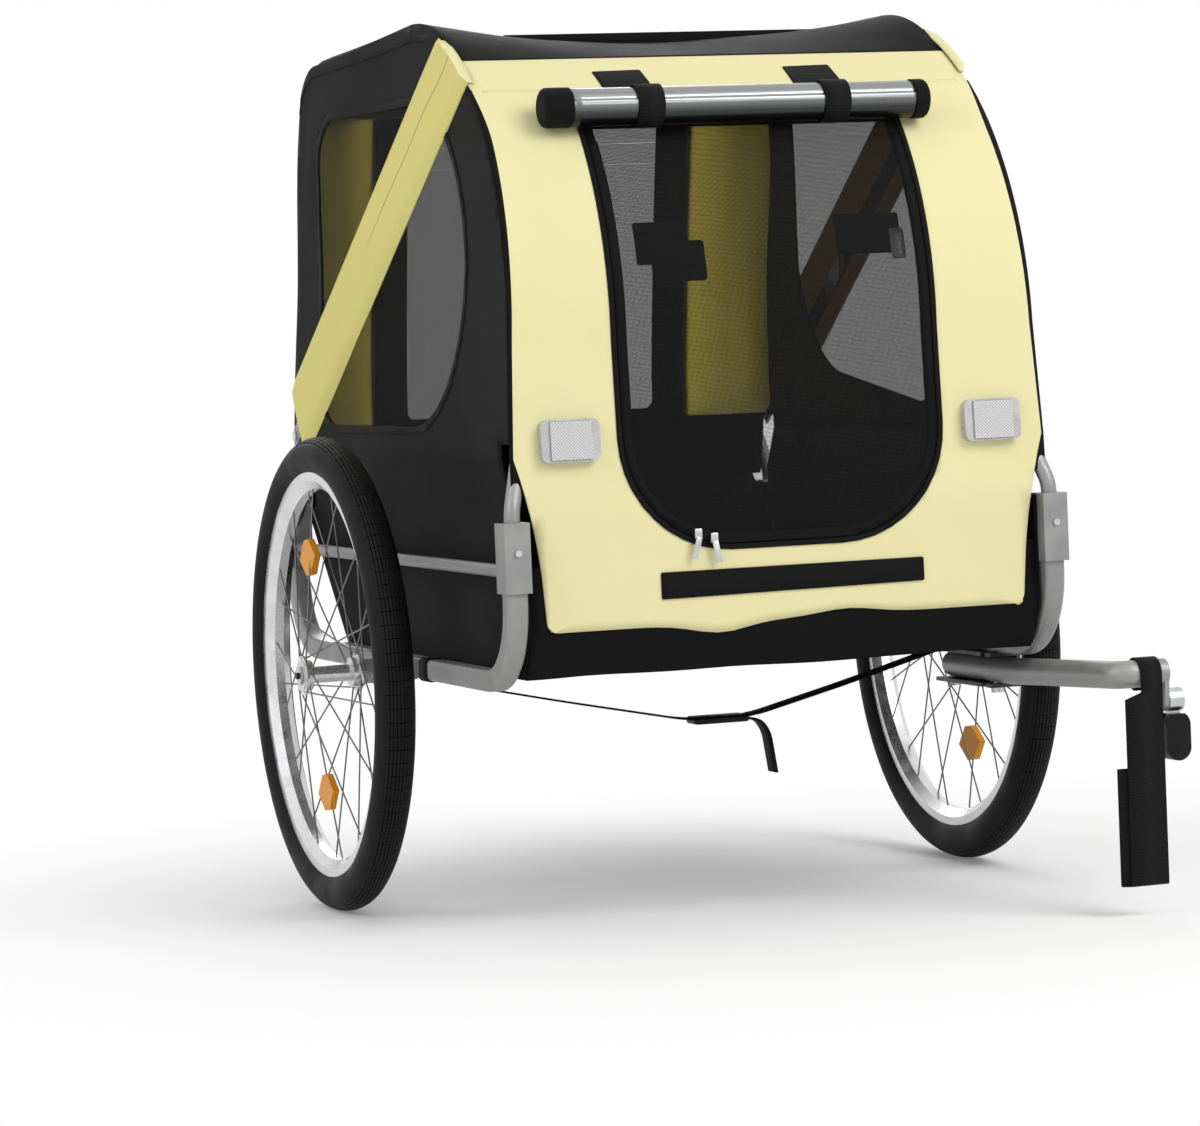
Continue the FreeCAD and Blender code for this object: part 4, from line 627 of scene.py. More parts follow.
# %% [markdown]
# ## Profiles of the cabin
# Seen from the side, the front wall stands straight, leans back a little and then rolls over into the roof in one
# large arc. The rear wall curves gently inwards. These functions give the wall's place at a height, for trim that has
# to lie on it.

# %% Front and rear lines
FRONT_Y, KNEE_Z = -0.421, 0.430
BROW_Y, BROW_Z = -0.411, 0.600
BROW_CENTRE_Y, BROW_CENTRE_Z, BROW_RADIUS = -0.0897, 0.6082, 0.3213
REAR_LINE = ((0.430, 0.373), (0.554, 0.367), (0.710, 0.343), (0.885, 0.308))


def front_y(z):
    if z < BROW_Z:
        return FRONT_Y + (BROW_Y - FRONT_Y) * max(0.0, (z - KNEE_Z) / (BROW_Z - KNEE_Z))
    return BROW_CENTRE_Y - math.sqrt(BROW_RADIUS ** 2 - (z - BROW_CENTRE_Z) ** 2)


def rear_y(z):
    (z0, y0), (z1, y1), (z2, y2), (z3, y3) = REAR_LINE
    if z < z1:
        return y0 + (y1 - y0) * max(0.0, (z - z0) / (z1 - z0))
    first = y1 * (z - z2) * (z - z3) / ((z1 - z2) * (z1 - z3))
    second = y2 * (z - z1) * (z - z3) / ((z2 - z1) * (z2 - z3))
    return first + second + y3 * (z - z1) * (z - z2) / ((z3 - z1) * (z3 - z2))


def lay_on(bm, wall_y, proud, cell, surface=None):
    """Lays a flat piece of trim on the front or rear wall, this far proud of it and of its wrinkles."""
    cut_cells(bm, (Z_AXIS,), cell)
    outward = -Y_AXIS if wall_y is front_y else Y_AXIS
    for vert in bm.verts:
        vert.co.y = outward.y
        hit = surface.ray_cast(vert.co, -outward)[0] if surface else None
        vert.co.y = (hit.y if hit else wall_y(vert.co.z)) + proud * outward.y
    face_towards(bm, outward)


print("front wall from", FRONT_Y, "to", round(front_y(BROW_Z), 4), "rear wall to", round(rear_y(REAR_LINE[-1][0]), 4))

# %% Sides and shoulders
HIP_Z = 0.485
EDGE_X, EDGE_LEAN = 0.2870, 0.0521
SIDE_X, SIDE_LEAN = 0.2885, 0.0398
INNER_X = 0.200
SHOULDER, SHOULDER_RISE = 0.0075, 0.005
SHOULDER_Y, SHOULDER_Z = (0.02, 0.28), (0.64, 0.84)


def smooth(value, low, high):
    """0 below low, 1 above high, and an even slope between."""
    share = min(1.0, max(0.0, (value - low) / (high - low)))
    return share * share * (3 - 2 * share)


def shoulder(place):
    """How full the cover is at a place: 1 at its rear top corners, where the bow pushes it out."""
    return smooth(place.y, *SHOULDER_Y) * smooth(place.z, *SHOULDER_Z)


def side_x(place):
    """The outside of a side wall at a place."""
    return SIDE_X - SIDE_LEAN * max(0.0, place.z - HIP_Z) + SHOULDER * shoulder(place)


def fill_out(bm):
    """Pushes a side of the cover out at its rear top corner."""
    for vert in bm.verts:
        vert.co.x += math.copysign(SHOULDER * shoulder(vert.co), vert.co.x)


def lift_corners(bm):
    """Lifts the rear top corners of the roof and the rear wall."""
    for vert in bm.verts:
        vert.co.z += SHOULDER_RISE * shoulder(vert.co) * min(1.0, abs(vert.co.x) / EDGE_X) ** 4


def reach_sides(bm, foot, short):
    """Widens an end wall near its side edges, above its foot, until it meets the side walls, or stays just short."""
    for vert in bm.verts:
        edge = EDGE_X - EDGE_LEAN * (vert.co.z - HIP_Z)
        share = max(0.0, abs(vert.co.x) - INNER_X) / (edge - INNER_X)
        gap = max(0.0, side_x(vert.co) - short - edge)
        vert.co.x += math.copysign(gap * smooth(vert.co.z, *foot) * share * share, vert.co.x)


print("sides lean in by", SIDE_LEAN, "above", HIP_Z)

# %% [markdown]
# ## Front wall
# The front is one pale yellow panel with a round-bottomed opening for the door. Its hem hangs free over the black tub
# and waves a little, so the lowest rows of the sheet are pulled down and up where the photograph shows it.

# %% Front wall
HEM_Z = 0.311
HEM_REACH = 0.055
HEM_WAVES = ((-0.077, 0.040, -0.0095), (0.062, 0.042, 0.0065))
SEAM_Z = 0.857
CORNER_RISE = (0.800, 0.872)
PIPING, PIPING_FOOT = 0.002, 0.443
HEM_ROUND, HEM_PUFF = 0.010, 0.25
TUCK, TOP_REACH = Vector((0, 0.008, 0.0025)), 0.006

wall = skin_of("front_panel", looking(-Y_AXIS))
corners = [vert for vert in wall.verts if vert.co.z < HEM_Z + MERGE and abs(vert.co.x) > INNER_X]
rounded(wall, corners, HEM_ROUND, 5)
cut_cells(wall, (X_AXIS, Z_AXIS))
for vert in wall.verts:
    share = max(0.0, 1 - (vert.co.z - HEM_Z) / HEM_REACH)
    for place, width, height in HEM_WAVES:
        swell = math.exp(-((vert.co.x - place) / width) ** 2)
        vert.co.z += height * swell * share
        vert.co.y -= HEM_PUFF * abs(height) * swell * share
reach_sides(wall, CORNER_RISE, 0.0)
wrinkle(wall, height=0.0022, length=0.11, fade=0.06, seed=3.1)
wrinkle(wall, height=0.0008, length=0.035, fade=0.04, seed=7.7)
sides = edges_where(wall, lambda spot: abs(spot.x) > INNER_X and PIPING_FOOT < spot.z < SEAM_Z)
for vert in drawn_on(wall, sides)[0]:
    vert.co.x = math.copysign(side_x(vert.co) + PIPING, vert.co.x)
    vert.co.y += PIPING
    for face in vert.link_faces:
        face.material_index = 1
reach = max(vert.co.z for vert in wall.verts)
top = edges_where(wall, lambda spot: spot.z > reach - TOP_REACH)
for vert in drawn_on(wall, top)[0]:
    vert.co += TUCK
print("front wall tucked under the roof along", len(top), "edges")
agree(wall, -Y_AXIS)
front_surface = bvhtree.BVHTree.FromBMesh(wall)
front_wall = finished("front_wall", wall, [yellow_cloth, black_cloth], X_AXIS, Z_AXIS, CLOTH)
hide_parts("front_panel")

# %% [markdown]
# ## Trim on the front wall
# A strip of hook tape, a sewn seam, the zip round the door and the facing behind it are thin and follow the wall. Each
# starts as a flat outline. A ray cast on to the wall's own mesh finds the wrinkles below a patch, so that it never
# sinks in, and a band is the outline inset by its width.

# %% Seams and hook tape on the front wall
TRIM_CELL = 0.008
ZIP_WIDTH, FACING_WIDTH, INSIDE = 0.0055, 0.0165, -0.0026


def front_patch(name, corners, finish, slot, proud, thickness, body="chassis"):
    bm = flat_face(corners)
    cut_cells(bm, (X_AXIS,))
    lay_on(bm, front_y, proud, CELL, front_surface if proud > 0 else None)
    return finished(name, bm, [finish], X_AXIS, Z_AXIS, thickness, body=body)


def band_on(name, corners, width, wall_y, proud, thickness, top=None, finish=black_cloth, body="chassis"):
    """A band along an outline on the front or rear wall, cut off level at its top where one is given."""
    bm = flat_face(corners)
    band_of(bm, width)
    if top:
        cut_at(bm, Z_AXIS, top, clear_outer=True)
    lay_on(bm, wall_y, proud, TRIM_CELL)
    return finished(name, bm, [finish], X_AXIS, Z_AXIS, thickness, body=body)


def rectangle(x0, x1, z0, z1, radius=0.002):
    return [(x0, z0, radius), (x1, z0, radius), (x1, z1, radius), (x0, z1, radius)]


def doorway(half, low, high, foot, top=0):
    """The outline of a door, with its corner radii at the foot and at the top."""
    return [(-half, low, foot), (half, low, foot), (half, high, top), (-half, high, top)]


HOOK_CORNERS = [(-0.138, 0.338, 0.002), (0.148, 0.341, 0.002), (0.148, 0.365, 0.002), (-0.138, 0.365, 0.002)]
SEAM_CORNERS = rectangle(-0.2620, 0.2620, 0.8540, 0.8560, 0)
DOOR_CORNERS = doorway(0.177, 0.384, 0.829, 0.117, 0.003)
hook_strip = front_patch("hook_strip", HOOK_CORNERS, hook_tape, "webbing", proud=0.0016, thickness=0.0014)
front_seam = front_patch("front_seam", SEAM_CORNERS, yellow_cloth, "yellow_cloth", proud=0.0005, thickness=0.0010)
front_zip = band_on("front_zip", DOOR_CORNERS, ZIP_WIDTH, front_y, proud=0.0012, thickness=0.0018, finish=hook_tape)
front_facing = band_on("front_facing", DOOR_CORNERS, FACING_WIDTH, front_y, INSIDE, thickness=0.0008)

# %% [markdown]
# ## Doors
# Each door is a leaf of net in a black border, sewn to a strip at its top, and swings up about that edge. The leaf
# is the CAD door's skin, and the border a band like the zip's. Both doors are alike, so one function makes them.

# %% Front door
BAND_PROUD = 0.0009
HINGE_Z = 0.7995


def net_door(end, outward, wall_y, finish, corners, width, thickness, seed):
    """A leaf of net, its border, and the strip that it hangs from."""
    leaf = skin_of(end + "_door", looking(outward))
    cut_cells(leaf, (X_AXIS, Z_AXIS))
    wrinkle(leaf, height=0.0016, length=0.10, fade=0.05, seed=seed)
    hung = finished(end + "_net", leaf, [finish], X_AXIS, Z_AXIS, NET, body=end + "_flap")
    border = band_on(end + "_border", corners, width, wall_y, BAND_PROUD, thickness, HINGE_Z, body=end + "_flap")
    strip = skin_of(end + "_door_header", looking(outward))
    return hung, border, finished(end + "_header", strip, [finish], X_AXIS, Z_AXIS, NET)


FRONT_LEAF = doorway(0.1705, 0.3905, 0.8120, 0.1105)
front_net, front_border, front_header = net_door("front", -Y_AXIS, front_y, black_net, FRONT_LEAF,
                                                 width=0.010, thickness=0.0022, seed=1.4)
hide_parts("front_door")
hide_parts("front_door_header")

# %% [markdown]
# ## Tabs and zip pulls
# Black tabs with a grey end hang behind the net, and two zip sliders sit at the foot of the door. The tabs are patches
# like the hook strip, a little behind the net. A slider is two bevelled boxes, because nothing more can be seen.

# %% Tabs inside the front door
TAB_DEPTH, TAB = -0.0022, 0.0016
DOOR_TABS = (
    ("door_tab_upper", rectangle(-0.142, -0.085, 0.673, 0.715), webbing, "webbing", TAB_DEPTH, TAB),
    ("door_tab_lower", rectangle(-0.126, -0.068, 0.655, 0.696, 0.004), webbing, "webbing", TAB_DEPTH - 0.0018, TAB),
    ("door_tab_left", rectangle(0.076, 0.147, 0.676, 0.717), webbing, "webbing", TAB_DEPTH, TAB),
    ("door_tab_end", rectangle(0.1345, 0.1500, 0.6700, 0.7010, 0.003), HARD["frame_silver"], "steel",
     TAB_DEPTH + 0.0009, TAB / 2),
)
door_tabs = [front_patch(*tab, "front_flap") for tab in DOOR_TABS]

# %% Zip pulls
SLIDER, PULLER = (0.008, 0.005, 0.010, 1), (0.0065, 0.0016, 0.022, 1)
PULLER_PLACE, PULLER_PIN = (0, -0.0035, -0.0145), (0, -0.0035, -0.004)
PULL_PROUD, PULL_ROUND = 0.0040, 0.0007


def zip_pull(name, x, z, lean):
    """A slider with a hanging puller, just proud of the border."""
    bm = bmesh.new()
    bmesh.ops.create_cube(bm, size=1.0, matrix=Matrix.Diagonal(SLIDER))
    hung = Matrix.Translation(PULLER_PLACE) @ Matrix.Diagonal(PULLER)
    puller = bmesh.ops.create_cube(bm, size=1.0, matrix=hung)["verts"]
    bmesh.ops.rotate(bm, verts=puller, cent=PULLER_PIN, matrix=Matrix.Rotation(lean, 3, "Y"))
    rounded(bm, bm.edges[:], PULL_ROUND, 2, "EDGES")
    bmesh.ops.translate(bm, vec=(x, front_y(z) - PULL_PROUD, z), verts=bm.verts)
    return finished(name, bm, [HARD["steel"]], body="front_flap")


pulls = [zip_pull("zip_pull_one", -0.098, 0.402, 0.25), zip_pull("zip_pull_two", -0.081, 0.397, -0.2)]

# %% [markdown]
# ## Rear wall
# The rear wall is yellow at the sides and black below the door. A black binding frames the door. The colours are two
# material slots of one sheet, because the real panels are sewn edge to edge.

# %% Rear wall
REAR_BLACK_Z, REAR_TOP_Z = 0.503, 0.880
REAR_DOOR_Z, REAR_HALF, REAR_FRAME_X = 0.824, 0.160, 0.192
REAR_FOOT_Z, REAR_SHORT = 0.44, 0.0022
REAR_BINDING, REAR_LINING = 0.0345, 0.0440

wall = skin_of("rear_panel", looking(Y_AXIS))
cut_cells(wall, (X_AXIS, Z_AXIS))
cut_at(wall, Z_AXIS, REAR_BLACK_Z)
for face in wall.faces:
    middle = face.calc_center_median()
    sewn = not REAR_BLACK_Z < middle.z < REAR_TOP_Z
    face.material_index = int(sewn or abs(middle.x) < REAR_FRAME_X)
reach_sides(wall, (REAR_FOOT_Z, HIP_Z), REAR_SHORT)
lift_corners(wall)
wrinkle(wall, height=0.0020, length=0.11, fade=0.06, seed=9.3)


def over_door(face):
    middle = face.calc_center_median()
    return abs(middle.x) < REAR_HALF and middle.z > REAR_DOOR_Z


upper = wall.copy()
keep(upper, over_door)
keep(wall, lambda face: not over_door(face))
rear_upper_net = finished("rear_upper_net", upper, [window_net], X_AXIS, Z_AXIS, NET)
rear_wall = finished("rear_wall", wall, [thin_yellow, black_cloth], X_AXIS, Z_AXIS, CLOTH)
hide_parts("rear_panel")

REAR_FRAME = doorway(0.195, 0.470, 0.930, 0.030)
rear_binding = band_on("rear_binding", REAR_FRAME, REAR_BINDING, rear_y, BAND_PROUD, thickness=0.0012, top=REAR_TOP_Z)
rear_lining = band_on("rear_lining", REAR_FRAME, REAR_LINING, rear_y, INSIDE, thickness=0.0010, top=REAR_TOP_Z)

# %% [markdown]
# ## Lining over the rear bow
# Inside, thin yellow cloth runs from the door's frame across the rear bow to the side wall, and daylight glows through
# it. It is a flat outline laid on the rear wall, whose outer part is drawn forward by a smooth slope to clear the bow.

# %% Lining over the rear bow
LINING_CORNERS = ((0.190, 0.432), (0.2700, 0.432), (0.2760, 0.500), (0.2845, 0.515), (0.2715, 0.860), (0.190, 0.860))
LINING_SLOPE = (0.192, 0.246)
LINING_DEPTH, LINING_BEHIND, LINING_CLOTH = 0.040, 0.0035, 0.0008

for side_name, side in SIDES:
    lining = flat_face([(side * x, z, 0) for x, z in LINING_CORNERS])
    cut_cells(lining, (X_AXIS,), FINE_CELL / 2)
    cut_at(lining, Z_AXIS, REAR_BLACK_Z)
    lay_on(lining, rear_y, -LINING_BEHIND, FINE_CELL)
    for face in lining.faces:
        face.material_index = int(face.calc_center_median().z < REAR_BLACK_Z)
    for vert in lining.verts:
        share = smooth(abs(vert.co.x), *LINING_SLOPE)
        vert.co.y -= LINING_DEPTH * share
        vert.co.x += side * SHOULDER * shoulder(vert.co) * share
    finished("corner_lining_" + side_name, lining, [lining_yellow, black_cloth],
                            X_AXIS, Z_AXIS, LINING_CLOTH)

# %% [markdown]
# ## Rear door
# The rear door repeats the front one, smaller and with a narrower border, so the same function makes it.

# %% Rear door
REAR_LEAF = doorway(0.1585, 0.5065, 0.8200, 0.0225)
rear_net, rear_border, rear_header = net_door("rear", Y_AXIS, rear_y, window_net, REAR_LEAF,
                                              width=0.005, thickness=0.0026, seed=5.2)
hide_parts("rear_door")
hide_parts("rear_door_header")

# %% [markdown]
# ## Sides
# Each side is a black wall with a rounded window of net. The wall and the pane start as the outer faces of their CAD
# solids. The window's binding is the pane's outline, inset and drawn a little larger to lap over the seam.

# %% Side walls and windows
BINDING, BINDING_CLOTH, BINDING_PROUD = 0.009, 0.0024, 0.0007
BINDING_SPREAD = (1, 1.014, 1.020)

side_walls, side_nets, side_bindings = [], [], []
for side_name, side in SIDES:
    outward = X_AXIS * side
    wall = skin_of("side_panel_" + side_name, looking(outward))
    cut_cells(wall, (Y_AXIS, Z_AXIS))
    fill_out(wall)
    wrinkle(wall, height=0.0018, length=0.10, fade=0.05, seed=2.0 + side)
    made = finished("side_wall_" + side_name, wall, [black_cloth], Y_AXIS, Z_AXIS, CLOTH)
    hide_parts("side_panel_" + side_name)
    side_walls.append(made)

    pane = skin_of("side_windows", looking(outward))
    band = pane.copy()
    cut_cells(pane, (Y_AXIS, Z_AXIS))
    fill_out(pane)
    wrinkle(pane, height=0.0010, length=0.12, fade=0.05, seed=4.0 + side)
    side_nets.append(finished("side_net_" + side_name, pane, [window_net], Y_AXIS, Z_AXIS, NET))

    band_of(band, BINDING)
    across, up = [vert.co.y for vert in band.verts], [vert.co.z for vert in band.verts]
    middle = Vector((0, (min(across) + max(across)) / 2, (min(up) + max(up)) / 2))
    bmesh.ops.scale(band, vec=BINDING_SPREAD, space=Matrix.Translation(-middle), verts=band.verts)
    bmesh.ops.translate(band, vec=outward * BINDING_PROUD, verts=band.verts)
    cut_cells(band, (Y_AXIS, Z_AXIS))
    fill_out(band)
    side_bindings.append(finished("window_binding_" + side_name, band, [black_cloth], Y_AXIS, Z_AXIS,
                                  BINDING_CLOTH))
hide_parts("side_windows")

# %% [markdown]
# ## Pocket
# Through the door, a dark sheet with a curved edge shows inside the left window. It is one flat face with two rounded
# corners, turned to lie along the side and moved to just inside the wall.

# %% Pocket inside the left wall
POCKET_LINE = [(0.275, 0.866, 0), (0.1975, 0.866, 0), (0.1990, 0.648, 0.035), (0.1400, 0.556, 0.045),
               (-0.300, 0.491, 0), (0.275, 0.491, 0)]
POCKET_IN, POCKET_CLOTH = 0.006, 0.0008

pocket = flat_face(POCKET_LINE)
bmesh.ops.rotate(pocket, verts=pocket.verts, cent=(0, 0, 0), matrix=Matrix.Rotation(math.radians(90), 3, "Z"))
cut_cells(pocket, (Y_AXIS, Z_AXIS))
for vert in pocket.verts:
    vert.co.x = side_x(vert.co) - POCKET_IN
face_towards(pocket, -X_AXIS)
side_pocket = finished("side_pocket", pocket, [black_cloth], Y_AXIS, Z_AXIS, POCKET_CLOTH)

# %% [markdown]
# ## Strut sleeves
# A yellow sleeve is sewn over the diagonal strut, from the front top corner down to the rear post. It is the strut
# sleeve's CAD skin, spread wider above the strut, with a soft crease along it and a front end that laps over the brow.

# %% Strut sleeves
STRUT_ALONG = Vector((0, -0.585, 0.378)).normalized()
STRUT_ACROSS = Vector((0, 0.378, 0.585)).normalized()
STRUT_MIDDLE, STRUT_SHARE = 0.6117, 0.8
SLEEVE_SPREAD = 1.45
CREASE_AT, CREASE_REACH, CREASE = 0.006, 0.045, 0.0022
END_FADE = (0.59, 0.66)
SLEEVE_OVER, SLEEVE_PROUD, SLEEVE_IN = 0.009, 0.003, 0.004
SLEEVE_FACING, SLEEVE_TOP_Z, SLEEVE_CLOTH = 0.1, 0.85, 0.0012
BROW_CENTRE = Vector((0, BROW_CENTRE_Y, BROW_CENTRE_Z))


def front_end(bm):
    """The edges of a sleeve's open front end."""
    def across_strut(edge):
        run = edge.verts[1].co - edge.verts[0].co
        return abs(run.dot(STRUT_ALONG)) < STRUT_SHARE * run.length
    return [edge for edge in bm.edges if edge.is_boundary and across_strut(edge)
            and min(vert.co.z for vert in edge.verts) > SLEEVE_TOP_Z]


for side_name, side in SIDES:
    tunnel = skin_of("strut_sleeves", looking(X_AXIS * side, SLEEVE_FACING))
    cut_cells(tunnel, (STRUT_ALONG, STRUT_ACROSS), FINE_CELL)
    for vert in tunnel.verts:
        offset = vert.co.dot(STRUT_ACROSS) - STRUT_MIDDLE
        end = smooth(vert.co.dot(STRUT_ALONG), *END_FADE)
        ridge = CREASE * max(0.0, 1 - abs(offset - CREASE_AT) / CREASE_REACH)
        vert.co += STRUT_ACROSS * max(0.0, offset) * (SLEEVE_SPREAD - 1)
        vert.co.x += side * ridge * (1 - end)
    wrinkle(tunnel, height=0.0014, length=0.06, fade=0.03, seed=6.0 + side, stretch=(1, 0.6, 0.6))
    ahead, edges = drawn_on(tunnel, front_end(tunnel))
    for vert in ahead:
        vert.co += STRUT_ALONG * SLEEVE_OVER
    rim = [edge for edge in edges if edge.is_boundary and set(edge.verts) <= set(ahead)]
    for vert in drawn_on(tunnel, rim)[0]:
        vert.co.x = side * (side_x(vert.co) - SLEEVE_IN)
        for face in vert.link_faces:
            face.material_index = 1
    for vert in tunnel.verts:
        arm = Vector((0, vert.co.y, vert.co.z)) - BROW_CENTRE
        over = arm.length - BROW_RADIUS - SLEEVE_PROUD
        if over > 0 and arm.y < 0:
            vert.co -= arm.normalized() * over
    agree(tunnel, X_AXIS * side)
    finished("strut_sleeve_" + side_name, tunnel, [deep_yellow, yellow_cloth],
                            STRUT_ACROSS, STRUT_ALONG, SLEEVE_CLOTH)
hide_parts("strut_sleeves")

# %% [markdown]
# ## Roof and tub
# The roof is one black sheet that sags between its sewn sides. A taut strip stands along the ridge, straight where the
# cloth below it sags. The tub is a second sheet, which goes under the floor board and up behind the two end walls.

# %% Roof
ROOF_HALF, RIDGE_Z, SAG = 0.268, 0.938, 0.023
ROOF_HEM, HEM_PROUD = 0.018, 0.001
REAR_HEM, REAR_REACH = Vector((0, 0.0075, -0.012)), 0.004

roof = skin_of("roof_panel", looking(Z_AXIS))
cut_cells(roof, (X_AXIS, Y_AXIS))
lift_corners(roof)
wrinkle(roof, height=0.0024, length=0.13, fade=0.05, seed=8.8)
sides = edges_where(roof, lambda spot: abs(spot.x) > ROOF_HALF - HEM_PROUD)
for vert in drawn_on(roof, sides)[0]:
    vert.co.z -= ROOF_HEM
    vert.co.x = math.copysign(side_x(vert.co) + HEM_PROUD, vert.co.x)
reach = max(vert.co.y for vert in roof.verts)
back = edges_where(roof, lambda spot: spot.y > reach - REAR_REACH)
for vert in drawn_on(roof, back)[0]:
    vert.co += REAR_HEM
agree(roof, Z_AXIS)
roof_sheet = finished("roof_sheet", roof, [black_cloth], X_AXIS, Y_AXIS, CLOTH)
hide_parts("roof_panel")

# %% Strip on the ridge
RIDGE_Y, RIDGE_TOP = -0.082, 0.9255
RIDGE_ENDS = (-0.164, 0.200)
RIDGE_LEAST, RIDGE_SUNK, RIDGE_CLOTH = 0.001, 0.003, 0.004

ridge = bmesh.new()
ends = [ridge.verts.new((x, RIDGE_Y, RIDGE_TOP)) for x in RIDGE_ENDS]
ridge.edges.new(ends)
bmesh.ops.subdivide_edges(ridge, edges=ridge.edges[:], cuts=24)
for vert in drawn_on(ridge, ridge.edges[:])[0]:
    cloth = RIDGE_Z - SAG * (1 - (vert.co.x / ROOF_HALF) ** 2)
    vert.co.z = min(RIDGE_TOP - RIDGE_LEAST, cloth - RIDGE_SUNK)
face_towards(ridge, -Y_AXIS)
ridge_strip = finished("ridge_strip", ridge, [hook_tape], X_AXIS, Z_AXIS, RIDGE_CLOTH)

# %% Tub
TUB_CENTRE = Vector((0, 0, 0.4))
TUB_CELL, TUB_FACING = 0.02, 0.5


def tub_side(face):
    outward = face.normal.dot(face.calc_center_median() - TUB_CENTRE) > 0
    return outward and abs(face.normal.x) < TUB_FACING and face.normal.z < TUB_FACING


tub = skin_of("floor_tub", tub_side)
cut_cells(tub, (X_AXIS, Y_AXIS, Z_AXIS), TUB_CELL)
wrinkle(tub, height=0.0030, length=0.12, fade=0.06, seed=11.5)
tub_sheet = finished("tub_sheet", tub, [black_cloth], X_AXIS, Y_AXIS + Z_AXIS, CLOTH)
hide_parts("floor_tub")

# %% [markdown]
# ## Rolled cover
# A silver film cover is rolled up above the door. Its two ends are bound in black, and two hook-and-loop straps hold it
# to tabs on the wall. The roll is a circle whose radius grows along its turn, so that the film's free edge shows.

# %% Film
ROLL_Y, ROLL_Z, ROLL_RADIUS = -0.3491, 0.834, 0.020


def rolled_film(name):
    """Silver film in tight layers: fine lines along the roll, with a painted reflection that is bright above the roll's
    axis and painted shade that is dark below it.
    """
    material, shader = new_finish(name, {"Metallic": 0.9})
    place = object_place(material)
    z = split(place)[2]
    lines = Wire.add(material.node_tree, "VectorMath", {"operation": "MULTIPLY"},
                     {0: place, 1: (2.0, 260.0, 260.0)})
    streak = speckle(lines, 1.0, 3.0)
    # Painted reflection and shade: the colour runs from dark below the roll's axis to bright above it, with the fine
    # lines mixed in.
    height = (z - ROLL_Z) / ROLL_RADIUS + 0.35 * streak
    painted_reflection = ramp(height, -0.45, 0.75)
    feed(shader, Base_Color=blend(painted_reflection, (0.035, 0.036, 0.036, 1), (0.29, 0.30, 0.30, 1)))
    feed(shader, Roughness=ramp(streak, 0.2, 0.8, 0.18, 0.32), Normal=bump(streak, 0.0003))
    return material


silver_film = rolled_film("silver_film")
print("film", silver_film.name)

# %% Roll
ROLL_X = (-0.190, 0.184)
FILM, FILM_STEP, FILM_EDGE = 0.0012, 0.0012, 0.55
ROLL_CELL = 0.03
UPRIGHT = Matrix.Rotation(math.radians(90), 4, "Y")


def add_ring(bm, radius, x, segments):
    """Adds a circle round the roll's axis."""
    place = Matrix.Translation((x, ROLL_Y, ROLL_Z)) @ UPRIGHT
    bmesh.ops.create_circle(bm, cap_ends=False, segments=segments, radius=radius, matrix=place)


def drawn_out(bm, move):
    """Draws the edges of a line out into a sheet."""
    bmesh.ops.translate(bm, vec=move, verts=drawn_on(bm, bm.edges[:])[0])


roll = bmesh.new()
add_ring(roll, ROLL_RADIUS, ROLL_X[0], 72)
for vert in roll.verts:
    arm = Vector((0, vert.co.y - ROLL_Y, vert.co.z - ROLL_Z))
    share = (math.atan2(arm.z, arm.y) / TURN + FILM_EDGE) % 1.0
    vert.co -= arm.normalized() * FILM_STEP * share
drawn_out(roll, X_AXIS * (ROLL_X[1] - ROLL_X[0]))
cut_cells(roll, (X_AXIS,), ROLL_CELL)
agree(roll)
film_roll = finished("film_roll", roll, [silver_film], X_AXIS, Z_AXIS, FILM)
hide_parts("rain_cover_roll")

# %% Bound ends
ROLL_ENDS = (-0.219, 0.201)
CAP_OVER, CAP_ROUND = 0.0004, 0.006

caps = bmesh.new()
for inner_x, outer_x in zip(ROLL_X, ROLL_ENDS):
    middle = Matrix.Translation(((inner_x + outer_x) / 2, ROLL_Y, ROLL_Z)) @ UPRIGHT
    cone = bmesh.ops.create_cone(caps, cap_ends=True, segments=48, radius1=ROLL_RADIUS + CAP_OVER,
                                 radius2=ROLL_RADIUS + CAP_OVER, depth=abs(outer_x - inner_x), matrix=middle)["verts"]
    rims = {edge for vert in cone for edge in vert.link_edges if all(abs(v.co.x - outer_x) < MERGE for v in edge.verts)}
    rounded(caps, list(rims), CAP_ROUND, 4, "EDGES")
roll_caps = finished("roll_caps", caps, [black_cloth], X_AXIS, Y_AXIS + Z_AXIS)
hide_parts("roll_ends")

# %% Roll straps and tabs
STRAP_WIDTH, LOOP_OVER, LOOP = 0.028, 0.0022, 0.0018
STRAPS_X = (-0.107, 0.096)
TAB_ROUND, TAB_PROUD = 0.0015, 0.0018
TAB_CORNERS = (
    ((-0.130, 0.838), (-0.076, 0.838), (-0.083, 0.875), (-0.136, 0.874)),
    ((0.080, 0.838), (0.136, 0.838), (0.127, 0.876), (0.075, 0.875)),
)

loops = bmesh.new()
for x in STRAPS_X:
    add_ring(loops, ROLL_RADIUS + LOOP_OVER, x - STRAP_WIDTH / 2, 48)
drawn_out(loops, X_AXIS * STRAP_WIDTH)
agree(loops)
roll_loops = finished("roll_loops", loops, [webbing], X_AXIS, Y_AXIS + Z_AXIS, LOOP)
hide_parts("roll_straps")
for name, corners in zip(("right", "left"), TAB_CORNERS):
    front_patch("roll_tab_" + name, [(x, z, TAB_ROUND) for x, z in corners], webbing, "webbing", TAB_PROUD, TAB)

# %% [markdown]
# ## Straps
# Flat webbing is a line drawn out to its width. The safety strap goes round the end of the drawbar, hangs down and
# turns up behind itself. The strap under the floor goes from rail to rail with a slide buckle and a loose tail.

